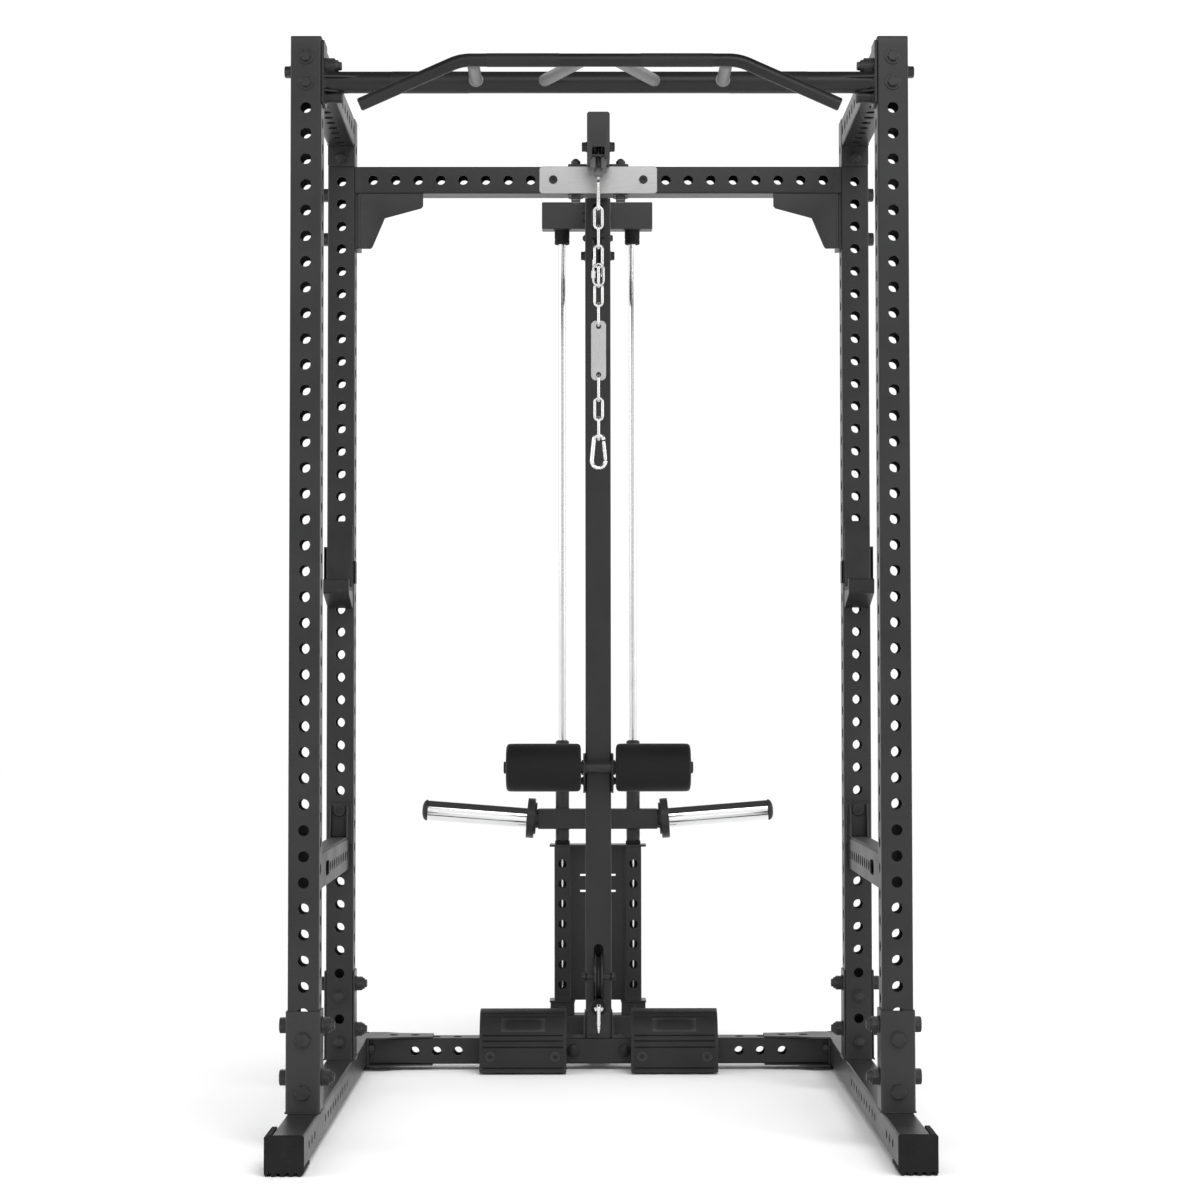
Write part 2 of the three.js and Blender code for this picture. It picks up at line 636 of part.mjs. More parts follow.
// Points of an arc in the plane X = 0, angles in degrees from +Y towards +Z.
function arc(y, z, radius, from, to, steps = 6) {
  return Array.from({ length: steps + 1 }, (_, i) => {
    const turn = THREE.MathUtils.degToRad(from + ((to - from) * i) / steps);
    return new THREE.Vector3(0, y + radius * Math.cos(turn), z + radius * Math.sin(turn));
  });
}

// Lat cable: stop ball, front pulley, along the arm, rear pulley, down to the carriage.
function latCable() {
  return along([
    new THREE.Vector3(0, CABLE_Y, BALL_Z + BALL_R + GAP),
    ...arc(FRONT_PULLEY_Y, TOP_PULLEY_Z, PULLEY_GROOVE, 180, 90),
    ...arc(REAR_PULLEY_Y, TOP_PULLEY_Z, PULLEY_GROOVE, 90, 0),
    new THREE.Vector3(0, STAND_Y, LUG_TOP + GAP),
  ], CABLE_R, 8);
}

// Row cable: stop ball, under the low pulley, up inside the column, over to the rear, down again.
function rowCable() {
  const [leave, fall] = [ROW_BALL.r + GAP, THREE.MathUtils.degToRad(ROW_PULL)];
  return along([
    new THREE.Vector3(0, ROW_BALL.y + leave * Math.cos(fall), ROW_BALL.z + leave * Math.sin(fall)),
    ...arc(LOW_PULLEY.y, LOW_PULLEY.z, LOW_PULLEY.groove, 270 + ROW_PULL, 361, 8),
    ...arc(COLUMN_PULLEY_Y, ROW_PULLEY_Z, PULLEY_GROOVE, 181, 90),
    ...arc(ROW_PULLEY_Y, ROW_PULLEY_Z, PULLEY_GROOVE, 90, 0),
    new THREE.Vector3(0, ROW_DROP_Y, LUG_TOP + GAP),
  ], CABLE_R, 8);
}

// A ball made of flat bands.
function ball(radius, y, z) {
  const profile = [-90, -50, -18, 18, 50, 90].map((degrees) => {
    const turn = THREE.MathUtils.degToRad(degrees);
    return [degrees % 90 === 0 ? 0 : radius * Math.cos(turn), radius * Math.sin(turn)];
  });
  return turned(profile, 'z', [0, y, z], 12);
}

// One long link from its top down, seen from the front (flat in XZ) or edge on (flat in YZ).
function link(top, length, edgeOn) {
  const width = 23;
  const centre = top - length / 2;
  const ring = (inset) => {
    const [w, h, cut] = [width / 2 - inset, length / 2 - inset, 7 - inset * 0.6];
    return [
      [-w + cut, centre - h], [w - cut, centre - h], [w, centre - h + cut], [w, centre + h - cut],
      [w - cut, centre + h], [-w + cut, centre + h], [-w, centre + h - cut], [-w, centre - h + cut],
    ];
  };
  const draw = (inset, half) => (edgeOn
    ? prism('yz', ring(inset).map(([u, v]) => [u + CABLE_Y, v]), -half, half)
    : frontPlate(ring(inset), CABLE_Y - half, CABLE_Y + half));
  return draw(0, WIRE / 2).subtract(draw(WIRE, WIRE));
}

// Chain from the stop ball to the carabiner, with a plain tag in it. Every link bears a little
// into the next one, so that the chain is one piece.
function latChain() {
  const bite = 0.3;
  const parts = [];
  let bottom = BALL_Z - BALL_R - GAP;
  const hang = (length) => {
    const top = parts.length ? bottom + 2 * WIRE - 2 * bite : bottom;
    parts.push(link(top, length, parts.length % 2 === 0));
    bottom = top - length;
  };
  [68, 54, 54, 54, 54, 54, 54].forEach(hang);
  const [margin, height, eye] = [7, 131, 11];
  const tagTop = bottom + WIRE + margin;
  const tagBottom = tagTop - height;
  const outline = roundedRect(32, height, 10, 0, (tagTop + tagBottom) / 2);
  let tag = frontPlate(outline, CABLE_Y - 1.5, CABLE_Y + 1.5);
  for (const z of [bottom + WIRE - bite - eye / 2, tagBottom + margin + eye / 2]) {
    tag = tag.subtract(block(-5, 5, CABLE_Y - 3, CABLE_Y + 3, z - eye / 2, z + eye / 2));
  }
  const lower = tagBottom + margin + WIRE - bite;
  const rest = [];
  bottom = lower;
  [60, 54, 54].forEach((length, i) => {
    const top = i ? bottom + 2 * WIRE - 2 * bite : lower;
    rest.push(link(top, length, i % 2 === 0));
    bottom = top - length;
  });
  return { body: join(...parts, tag, ...rest), bottom };
}

// Pear-shaped snap hook hanging from z = top, drawn in XZ. It is open where the gate closes it.
const HOOK = { height: 80, wire: 4.5, small: 10.5, large: 15 };
function hookLine(top) {
  const [small, large] = [top - HOOK.wire - HOOK.small, top - HOOK.height + HOOK.wire + HOOK.large];
  const at = (radius, z, degrees) => {
    const turn = THREE.MathUtils.degToRad(degrees);
    return new THREE.Vector3(radius * Math.cos(turn), CABLE_Y, z + radius * Math.sin(turn));
  };
  const upper = [0, 45, 90, 135, 180].map((degrees) => at(HOOK.small, small, degrees));
  const lower = [180, 215, 245, 270, 295, 325, 360].map((degrees) => at(HOOK.large, large, degrees));
  return { upper, lower, small, large };
}

function carabiner(top) {
  const { upper, lower } = hookLine(top);
  return along([...upper, ...lower], HOOK.wire, 8);
}

function gate(top) {
  const { small, large } = hookLine(top);
  const from = new THREE.Vector3(HOOK.large - 0.2, CABLE_Y, large + 1.8);
  const to = new THREE.Vector3(HOOK.small + 0.2, CABLE_Y, small - 3);
  return along([from, to], 3.5, 8);
}

const chain = latChain();
const hookTop = chain.bottom + WIRE + 1.7 + 2 * HOOK.wire;

// Stop ball of the low row with the shackle in front of it: two cheeks and the pin across them.
function rowBall() {
  const [front, back] = [ROW_PIN_Y - 4, ROW_BALL.y - ROW_BALL.r + 3];
  const cheek = block(5.2, 8.5, front, back, ROW_BALL.z - 6, ROW_BALL.z + 4);
  return join(
    ball(ROW_BALL.r, ROW_BALL.y, ROW_BALL.z),
    block(-6, 6, back - 4, back, ROW_BALL.z - 6, ROW_BALL.z + 4),
    cheek,
    mirrored(cheek),
    round('x', 2.5, 16, [0, ROW_PIN_Y, ROW_BALL.z], 8),
  );
}

// Snap hook of the low row, edge on to the front, hanging on the shackle's pin. Its gate is shut.
function rowHook() {
  const small = ROW_BALL.z + 2.9 - (8 - HOOK.wire);
  const large = small - 37;
  const at = ([degrees, radius, z]) => {
    const turn = THREE.MathUtils.degToRad(degrees);
    return new THREE.Vector3(0, ROW_PIN_Y + radius * Math.cos(turn), z + radius * Math.sin(turn));
  };
  const back = [[60, 8, small], [90, 8, small], [135, 8, small], [180, 8, small], [205, 15, large],
    [240, 15, large], [270, 15, large], [285, 15, large]];
  const front = [[270, 15, large], [300, 15, large], [335, 15, large], [0, 8, small], [45, 8, small],
    [90, 8, small]];
  return join(along(back.map(at), HOOK.wire, 8), along(front.map(at), HOOK.wire, 8));
}

place('lat_cable', latCable(), CABLE_COAT);
place('row_cable', rowCable(), CABLE_COAT);
place('cable_ball', ball(BALL_R, CABLE_Y, BALL_Z), ZINC);
place('lat_chain', chain.body, ZINC);
place('lat_carabiner', carabiner(hookTop), CHROME);
place('lat_gate', gate(hookTop), CHROME);
place('row_ball', rowBall(), RUBBER);
place('row_hook', rowHook(), CHROME);

// ---------------------------------------------------------------- bar holders and safeties
const CUP_PIN_Z = FIRST_HOLE_Z + 21 * HOLE_PITCH;
const CUP_HALF = 28;

// Hook for the barbell on the front face of a rear upright.
function jcup() {
  const face = REAR_Y - GAP;
  const [front, floor] = [620, 1104];
  const cup = prism('yz', [
    [face, 1066], [face, 1240], [face - 6, 1240], [face - 6, floor], [front + 8, floor], [front + 8, 1126],
    [front, 1126], [front, 1094],
  ], POST_X - CUP_HALF, POST_X + CUP_HALF);
  const wing = join(
    block(POST_X + CUP_HALF - 1, POST_OUT + 6, face - 6, face, floor, 1201),
    block(POST_OUT + 0.6, POST_OUT + 6, face - 1, face + 36, floor, 1201),
  );
  const tab = join(
    block(POST_IN - 6, POST_X - CUP_HALF + 1, face - 6, face, 1140, 1170),
    block(POST_IN - 6, POST_IN - 0.6, face - 1, face + 26, 1140, 1170),
  );
  const pin = round('y', 9, 46, [POST_X, face + 22, CUP_PIN_Z], 12);
  return join(cup, wing, tab, pin);
}

// Plastic liner that keeps the bar off the steel.
function jcupPad() {
  const [back, front, floor] = [REAR_Y - GAP - 6 - GAP, 628 + GAP, 1104 + GAP];
  return prism('yz', [
    [back, floor], [back, 1257], [back - 10, 1257], [back - 10, floor + 7], [front + 7, floor + 7],
    [front + 7, 1126], [front, 1126], [front, floor],
  ], POST_X - CUP_HALF, POST_X + CUP_HALF);
}

// Safety beam between the uprights, with an end bracket at each, hollow below its liner.
function spotter() {
  const [y0, y1] = [TUBE + 0.8, REAR_Y - 0.8];
  const [z0, z1] = [491, 560];
  const [x0, x1] = [POST_X - 20, POST_X + 20];
  const plate = 6;
  const wall = prism('yz', [
    [y1 - plate + 1, z1 - 2], [y1 - 34, z1 - 2], [y1 - 34, z1 + 2], [y1 - 20, 632], [y1 - plate + 1, 636],
  ], x0, x0 + WALL);
  const rearPlate = block(POST_X - 27, POST_X + 27, y1 - plate, y1, z1 - 12, 638);
  const liner = block(x0, x1, y0 + 10, y1 - 10, z1 - 1, z1 + 3);
  return join(
    block(x0, x1, y0 + 1, y1 - 1, z0, z1),
    block(x0 - 4, x1 + 4, y0, y0 + plate, 496, 630),
    block(x0, x1, y1 - plate, y1, z0, 632),
    rearPlate, wall, onPostSide(wall), liner,
  )
    .subtract(block(x0 + WALL, x1 - WALL, y0 + plate, y1 - plate, z0 + WALL, z1 - WALL - 1))
    .subtract(block(x0 - 1, x1 + 1, 226, 297, 510, 540));
}

// The same plate on the other side of the right-hand upright.
function onPostSide(body) {
  const geometry = toGeometry(mirrored(body));
  geometry.translate(2 * POST_X, 0, 0);
  return solid(geometry);
}

for (const [label, side] of SIDES) {
  place(`jcup_${label}`, onSide(jcup(), side), POWDER);
  place(`jcup_pad_${label}`, onSide(jcupPad(), side), PLASTIC);
  place(`spotter_${label}`, onSide(spotter(), side), POWDER);
}

export default model;
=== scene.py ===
# Power cage with a plate-loaded lat tower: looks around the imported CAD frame.
# Shapes are written in millimetres, with y = 0 at the front faces of the front uprights and
# z = 0 on the floor, and are moved into the frame's metres when a piece is made.

import math

import bmesh
import bpy
from mathutils import Matrix, Vector
from mathutils.geometry import tessellate_polygon


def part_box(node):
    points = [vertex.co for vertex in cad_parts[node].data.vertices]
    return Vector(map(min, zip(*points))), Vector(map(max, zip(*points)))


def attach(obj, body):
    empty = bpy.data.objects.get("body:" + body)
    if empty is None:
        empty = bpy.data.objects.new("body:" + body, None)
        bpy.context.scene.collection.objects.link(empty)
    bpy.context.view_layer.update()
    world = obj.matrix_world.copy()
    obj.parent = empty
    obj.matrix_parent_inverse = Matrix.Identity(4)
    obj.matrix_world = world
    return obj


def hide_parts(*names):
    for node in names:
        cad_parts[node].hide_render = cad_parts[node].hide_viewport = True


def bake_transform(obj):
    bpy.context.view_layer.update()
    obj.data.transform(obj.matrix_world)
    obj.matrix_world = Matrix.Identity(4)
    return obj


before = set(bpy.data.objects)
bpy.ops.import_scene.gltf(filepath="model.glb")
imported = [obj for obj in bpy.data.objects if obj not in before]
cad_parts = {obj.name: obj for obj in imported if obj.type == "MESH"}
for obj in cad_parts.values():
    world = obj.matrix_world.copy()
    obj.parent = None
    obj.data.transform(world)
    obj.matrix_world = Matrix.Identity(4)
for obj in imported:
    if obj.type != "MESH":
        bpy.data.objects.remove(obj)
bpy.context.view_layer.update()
FRONT_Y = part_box("upright_front_left")[0].y  # where y = 0 lies in the frame
MM = 0.001

# ---------------------------------------------------------------- shared dimensions, in mm
TUBE, HALF, WALL = 60.0, 30.0, 3.0
POST_X, REAR_Y, CROSS_Y, STAND_Y = 570.0, 720.0, 1085.0, 1545.0
PITCH, FIRST_HOLE, HOLE_R = 50.0, 114.0, 10.5
BASE_Z, BASE_TOP, POST_TOP = 14.0, 74.0, 2154.0
ARM_Z, ARM_H = 2047.0, 100.0
CABLE_Y, CABLE_R = 645.0, 2.5
ROD_X = 89.0
INNER_X, OUTER_X = POST_X - HALF, POST_X + HALF  # inner and outer faces of the uprights
SMALL_R, LOW_R = 40.0, 48.0  # pulleys, from the axle to the middle of the cable
FRONT_TOP, REAR_TOP = (CABLE_Y + SMALL_R, 2083.0), (STAND_Y - SMALL_R, 2083.0)  # axles, as (y, z)
COLUMN_TOP, ROW_REAR, LOW = (1135.0, 1918.0), (1488.0, 1918.0), (1090.0, 216.0)
CARRIAGE_END_Z, ROW_END_Y = 640.3, 1528.0  # where the cables meet the carriage
DECK_Z = 2017.0  # middle of the rear top crossbeam
BALL_Z = 2014.0  # the stop on the lat cable
ROW_BALL = (1034.0, 152.0, 19.0)  # the stop on the row cable: y, z, radius
ROW_PIN = 34.0  # from the middle of that ball to the hook's pin
ROW_FALL = math.radians(14.44)  # how far below level the row cable leaves its low pulley
SIDES = (("left", -1), ("right", 1))


# ---------------------------------------------------------------- meshes
class Shape:
    """Closed bodies gathered in one mesh, in mm."""

    def __init__(self):
        self.verts, self.faces = [], []

    def add(self, verts, faces):
        start = len(self.verts)
        self.verts += [tuple(v) for v in verts]
        self.faces += [tuple(i + start for i in f) for f in faces]
        return self

    def join(self, other):
        return self.add(other.verts, other.faces)

    def mirrored(self):
        out = Shape()
        out.verts = [(-x, y, z) for x, y, z in self.verts]
        out.faces = [tuple(reversed(f)) for f in self.faces]
        return out


def side_of(shape, side):
    return shape if side > 0 else shape.mirrored()


def joined(*shapes):
    out = Shape()
    for shape in shapes:
        out.join(shape)
    return out


def both_sides(shape):
    return joined(shape.mirrored(), shape)


def loft(rings, closed=False):
    """Skin over rings of equal length; the ends are capped unless the last ring meets the first."""
    n = len(rings[0])
    verts = [p for ring in rings for p in ring]
    faces = []
    spans = len(rings) if closed else len(rings) - 1
    for i in range(spans):
        a, b = i * n, ((i + 1) % len(rings)) * n
        for j in range(n):
            k = (j + 1) % n
            faces.append((a + j, a + k, b + k, b + j))
    if not closed:
        faces.append(tuple(reversed(range(n))))
        faces.append(tuple(range((len(rings) - 1) * n, len(rings) * n)))
    return Shape().add(verts, faces)


PLANES = {  # where a plane's two axes and the direction across it lie
    "xy": lambda u, v, w: (u, v, w),
    "yz": lambda u, v, w: (w, u, v),
    "xz": lambda u, v, w: (u, w, v),
}
AXES = {
    "x": Matrix(((0, 0, 1), (1, 0, 0), (0, 1, 0))),
    "y": Matrix(((1, 0, 0), (0, 0, 1), (0, -1, 0))),
    "z": Matrix.Identity(3),
}


def basis(axis):
    """3x3 that takes local +Z to a named axis, '-x' and so on, or to a direction."""
    if isinstance(axis, str):
        if axis[0] == "-":
            return basis(axis[1]) @ Matrix.Diagonal((1, -1, -1))
        return AXES[axis]
    return Vector(axis).to_track_quat("Z", "Y").to_matrix()


def turned(profile, axis, centre, sides=32):
    """Solid of revolution of [(radius, height)]; radius 0 ends make points."""
    m = basis(axis)
    rings = []
    for radius, height in profile:
        r = max(radius, 1e-4)
        ring = []
        for i in range(sides):
            a = 2 * math.pi * i / sides
            ring.append(Vector(centre) + m @ Vector((r * math.cos(a), r * math.sin(a), height)))
        rings.append(ring)
    return loft(rings)


def ring_of(profile, axis, centre, sides=32):
    """Solid of revolution of a closed profile that doesn't touch the axis."""
    m = basis(axis)
    rings = []
    for i in range(sides):
        a = 2 * math.pi * i / sides
        rings.append([Vector(centre) + m @ Vector((r * math.cos(a), r * math.sin(a), h))
                      for r, h in profile])
    return loft(rings, closed=True)


def rod(radius, axis, centre, length, sides=32, edge=0.6):
    """Cylinder with softened rims, centred on its middle."""
    h = length / 2
    return turned([(radius - edge, -h), (radius, -h + edge), (radius, h - edge), (radius - edge, h)],
                  axis, centre, sides)


def pipe(outer, inner, axis, centre, length, sides=32, edge=0.6):
    h = length / 2
    return ring_of([(inner, -h), (outer - edge, -h), (outer, -h + edge), (outer, h - edge),
                    (outer - edge, h), (inner, h)], axis, centre, sides)


def inset(outline, d):
    """The outline moved inwards by d along its corners' bisectors; it runs counter-clockwise."""
    out = []
    n = len(outline)
    for i in range(n):
        p, a, b = (Vector(outline[j]) for j in (i, i - 1, (i + 1) % n))
        u, v = (p - a).normalized(), (b - p).normalized()
        nu, nv = Vector((-u.y, u.x)), Vector((-v.y, v.x))
        s = nu + nv
        out.append(tuple(p + s * (d / max(1e-6, 1 + nu.dot(nv)))))
    return out


def area(outline):
    return sum(a[0] * b[1] - b[0] * a[1] for a, b in zip(outline, outline[1:] + outline[:1])) / 2


def turned_left(outline):
    """The outline, counter-clockwise."""
    return list(outline) if area(outline) > 0 else list(reversed(outline))


def slab(full, cut, plane, w0, w1, edge):
    """Side skin of a thickness whose two rims step in from one outline to another."""
    rings = [(cut, w0), (full, w0 + edge), (full, w1 - edge), (cut, w1)]
    return loft([[PLANES[plane](u, v, w) for u, v in ring] for ring, w in rings])


def prism(outline, plane, w0, w1, edge=0.8):
    """Outline in the 'xy', 'yz' or 'xz' plane, given a thickness, with softened rims."""
    full = turned_left(outline)
    return slab(full, inset(full, edge), plane, w0, w1, edge)


def block(x0, x1, y0, y1, z0, z1, edge=0.8):
    return prism([(x0, y0), (x1, y0), (x1, y1), (x0, y1)], "xy", z0, z1, edge)


def rounded(w, h, r, cx=0.0, cy=0.0, steps=6):
    """Rounded rectangle, counter-clockwise."""
    out = []
    for k, (sx, sy) in enumerate(((1, -1), (1, 1), (-1, 1), (-1, -1))):
        for i in range(steps + 1):
            a = math.pi / 2 * (k - 1 + i / steps)
            out.append((cx + sx * (w / 2 - r) + r * math.cos(a),
                        cy + sy * (h / 2 - r) + r * math.sin(a)))
    return out


def circle(r, cx, cy, n=24):
    return [(cx + r * math.cos(2 * math.pi * i / n), cy + r * math.sin(2 * math.pi * i / n))
            for i in range(n)]


def plate(outline, holes, plane, w0, w1, edge=0.5):
    """Flat plate with holes through it and softened outer rims."""
    outer = turned_left(outline)
    holes = [turned_left(h) for h in holes]
    small = inset(outer, edge)
    wide = [inset(h, -edge) for h in holes]
    out = Shape()
    loops = [small] + wide
    flat = [p for loop in loops for p in loop]
    tris = tessellate_polygon([[Vector((u, v, 0)) for u, v in loop] for loop in loops])
    for w in (w0, w1):
        out.add([PLANES[plane](u, v, w) for u, v in flat], tris)
    for full, cut in [(outer, small)] + list(zip(holes, wide)):
        body = slab(full, cut, plane, w0, w1, edge)
        body.faces = body.faces[:-2]
        out.join(body)
    return out


def frames_along(points, closed=False):
    """A normal pair at each point of a path, carried along without twist."""
    pts = [Vector(p) for p in points]
    n = len(pts)
    tangents = []
    for i in range(n):
        a = pts[i - 1] if (closed or i) else pts[0]
        b = pts[(i + 1) % n] if (closed or i < n - 1) else pts[-1]
        tangents.append((b - a).normalized())
    up = Vector((1, 0, 0)) if abs(tangents[0].x) < 0.9 else Vector((0, 1, 0))
    u = tangents[0].cross(up).normalized()
    out = []
    for t in tangents:
        u = (u - t * u.dot(t)).normalized()
        out.append((u, t.cross(u)))
    return pts, out


def sweep(points, radius, sides=12, closed=False):
    """Round bar along a path; radius may be a list, one for each point."""
    pts, normals = frames_along(points, closed)
    rings = []
    for i, (p, (u, v)) in enumerate(zip(pts, normals)):
        r = radius[i] if isinstance(radius, (list, tuple)) else radius
        rings.append([p + u * (r * math.cos(a)) + v * (r * math.sin(a))
                      for a in (2 * math.pi * j / sides for j in range(sides))])
    return loft(rings, closed)


def bent(points, radius, steps=8):
    """The polyline with its inner corners rounded to a radius."""
    pts = [Vector(p) for p in points]
    out = [pts[0]]
    for a, p, b in zip(pts, pts[1:], pts[2:]):
        u, v = (a - p).normalized(), (b - p).normalized()
        half = math.acos(max(-1, min(1, u.dot(v)))) / 2
        cut = radius / math.tan(half)
        start, end = p + u * cut, p + v * cut
        centre = p + (u + v).normalized() * (radius / math.sin(half))
        for i in range(steps + 1):
            q = start.lerp(end, i / steps)
            out.append(centre + (q - centre).normalized() * radius)
    out.append(pts[-1])
    return out


# Perforated square tube. Faces 0..3 look along +u, +v, -u, -v of its section.
SECTION = {"z": lambda u, v, s: (u, v, s), "y": lambda u, v, s: (u, s, v),
           "x": lambda u, v, s: (s, u, v)}


def perforated(axis, s0, s1, cu, cv, holes, radius=HOLE_R, corner=4.0, half=HALF, half_v=None,
               wall=WALL, sides=24):
    """holes maps a face to its holes: positions along the tube, or (position, radius), or
    (middle, radius, half length of the straight sides) for a slot."""
    place = SECTION[axis]
    bend, rim, inner = 4, 0.5, max(corner - wall, 0.5)
    halves = (half, half_v or half)
    out = Shape()

    def at(k, t, depth, s):
        """Point of face k: t across it, s along the tube."""
        d = (math.cos(k * math.pi / 2), math.sin(k * math.pi / 2))
        far = halves[k % 2] - depth
        return place(cu + d[0] * far - d[1] * t, cv + d[1] * far + d[0] * t, s)

    def on_arc(k, i, s, bend_r, depth):
        """Point i of the corner after face k, on the outer skin or on the inner one."""
        turn = (k + i / bend) * math.pi / 2
        d, e = k * math.pi / 2, (k + 1) * math.pi / 2
        fu, fv = halves[0] - depth - bend_r, halves[1] - depth - bend_r
        u = fu * (round(math.cos(d)) + round(math.cos(e))) + bend_r * math.cos(turn)
        v = fv * (round(math.sin(d)) + round(math.sin(e))) + bend_r * math.sin(turn)
        return place(cu + u, cv + v, s)

    def rim_line(s, r, straight, turn_to):
        """Points (s, t) round a hole from one side of it up to an angle, in steps of a circle."""
        line = []
        for i in range(sides * turn_to // 360 + 1):
            turn = 2 * math.pi * i / sides
            c, t = r * math.cos(turn), r * math.sin(turn)
            ends = (1,) if c > 0 or not straight else (-1,)
            if straight and i in (sides // 4, 3 * sides // 4):
                ends = (1, -1) if t > 0 else (-1, 1)
            line += [(s + c + straight * e, t) for e in ends]
        return line

    cells = {}
    stations = {s0, s1}
    for k in range(4):
        found = [(h, radius) if not isinstance(h, tuple) else h for h in holes.get(k, ())]
        found = sorted((h + (0.0,))[:3] for h in found)
        spans = []
        for s, r, straight in found:
            near = [abs(s - q[0]) / 2 for q in found if q[0] != s] + [PITCH / 2]
            reach = max(min(near), r + straight + 1.5)
            spans.append((s - reach, s + reach, s, r, straight))
        cells[k] = spans
        for a, b, *_ in spans:
            stations |= {round(a, 4), round(b, 4)}
    stations = sorted(stations)
    for k in range(4):
        f = halves[1 - k % 2] - corner
        for depth in (0.0, wall):
            cuts = sorted({s0, s1} | {round(x, 4) for c in cells[k] for x in c[:2]})
            for a, b in zip(cuts, cuts[1:]):
                hole = next((c for c in cells[k] if abs(c[0] - a) < 1e-3 and abs(c[1] - b) < 1e-3), None)
                for sign in (1, -1):
                    line = [(a, 0)] + [(s, f * sign) for s in stations if a - 1e-6 <= s <= b + 1e-6]
                    line.append((b, 0))
                    if hole:
                        r = hole[3] + (rim if depth == 0 else 0)
                        line += [(s, sign * t) for s, t in rim_line(hole[2], r, hole[4], 180)]
                    out.add([at(k, t, depth, s) for s, t in line], [tuple(range(len(line)))])
        for _, _, s, r, straight in cells[k]:
            rings = []
            for rr, depth in ((r + rim, 0), (r, rim), (r, wall)):
                rings.append([at(k, t, depth, q) for q, t in rim_line(s, rr, straight, 360)[:-1]])
            skin = loft(rings)
            skin.faces = skin.faces[:-2]
            out.join(skin)
        for i in range(bend):
            for a, b in zip(stations, stations[1:]):
                for skin in ((corner, 0.0), (inner, wall)):
                    out.add([on_arc(k, i, a, *skin), on_arc(k, i + 1, a, *skin), on_arc(k, i + 1, b, *skin),
                             on_arc(k, i, b, *skin)], [(0, 1, 2, 3)])
            for s in (s0, s1):
                out.add([on_arc(k, i, s, corner, 0.0), on_arc(k, i + 1, s, corner, 0.0),
                         on_arc(k, i + 1, s, inner, wall), on_arc(k, i, s, inner, wall)], [(0, 1, 2, 3)])
        for s in (s0, s1):
            for t0, t1 in ((-f, 0), (0, f)):
                out.add([at(k, t0, 0, s), at(k, t1, 0, s), at(k, t1, wall, s), at(k, t0, wall, s)],
                        [(0, 1, 2, 3)])
    return out


# ---------------------------------------------------------------- fasteners
HEX = 2 / math.sqrt(3)


def hex_reach(a):
    """Distance from a hexagon's centre to its outline at an angle, for corners at distance 1."""
    return math.cos(math.pi / 6) / math.cos((a % (math.pi / 3)) - math.pi / 6)


def hexagon(across, axis, centre, height, dome=0.0):
    """Bolt head or nut standing on its centre, chamfered at the top."""
    r = across / 2 * HEX
    m = basis(axis)

    def ring(scale, h, blend):
        out = []
        for i in range(24):
            a = 2 * math.pi * i / 24
            rad = (r * hex_reach(a) * (1 - blend) + across / 2 * blend) * scale
            out.append(Vector(centre) + m @ Vector((rad * math.cos(a), rad * math.sin(a), h)))
        return out

    rings = [ring(1, 0, 0), ring(1, height - 1.6, 0), ring(0.985, height - 0.5, 0.8), ring(0.93, height, 1)]
    if dome:
        rings += [ring(0.6, height + dome * 0.75, 1), ring(0.3, height + dome, 1)]
    return loft(rings)


def washer(radius, axis, centre, thick=2.5):
    return turned([(radius - 0.5, 0), (radius, 0.5), (radius, thick - 0.5), (radius - 0.5, thick)],
                  axis, centre, 28)


def dome_head(radius, axis, centre, height=5.0):
    profile = [(radius, 0), (radius, height * 0.25)]
    profile += [(radius * math.cos(a), height * (0.25 + 0.75 * math.sin(a)))
                for a in (math.radians(20), math.radians(42), math.radians(62), math.radians(80))]
    return turned(profile, axis, centre, 28)


def socket_head(radius, axis, centre, height=5.0):
    """Button head with a hexagon socket sunk into it."""
    m = basis(axis)
    n = 24

    def ring(rad, h, hexed=False):
        out = []
        for i in range(n):
            a = 2 * math.pi * i / n
            k = hex_reach(a) if hexed else 1
            out.append(Vector(centre) + m @ Vector((rad * k * math.cos(a), rad * k * math.sin(a), h)))
        return out

    return loft([ring(radius, 0), ring(radius, height * 0.3), ring(radius * 0.88, height * 0.75),
                 ring(radius * 0.62, height), ring(radius * 0.5, height, True),
                 ring(radius * 0.5, height * 0.35, True), ring(radius * 0.1, height * 0.2)])


def bolt(axis, centre, across=33.0, head=13.0, wash=19.0, dome=0.0):
    """Hexagon head on a washer, standing on a surface."""
    up = basis(axis) @ Vector((0, 0, 2.5))
    return joined(washer(wash, axis, centre), hexagon(across, axis, Vector(centre) + up, head - 2.5, dome))


def lock_nut(axis, centre, across=33.0, height=25.0, wash=19.0):
    """Washer, nut with its nylon collar, and the bolt's end."""
    up = basis(axis) @ Vector((0, 0, 1))
    at = [Vector(centre) + up * h for h in (0, 2.5, height * 0.62, height * 0.8)]
    r = across / 2
    return joined(
        washer(wash, axis, at[0]),
        hexagon(across, axis, at[1], height * 0.62 - 2.5),
        turned([(r * 0.86, 0), (r * 0.86, height * 0.12), (r * 0.78, height * 0.18)], axis, at[2], 24),
        turned([(r * 0.6, 0), (r * 0.6, height * 0.16), (r * 0.5, height * 0.2)], axis, at[3], 20),
    )


# ---------------------------------------------------------------- materials
NOISE = (0.3, 0.7)  # where nearly all values of a noise texture lie


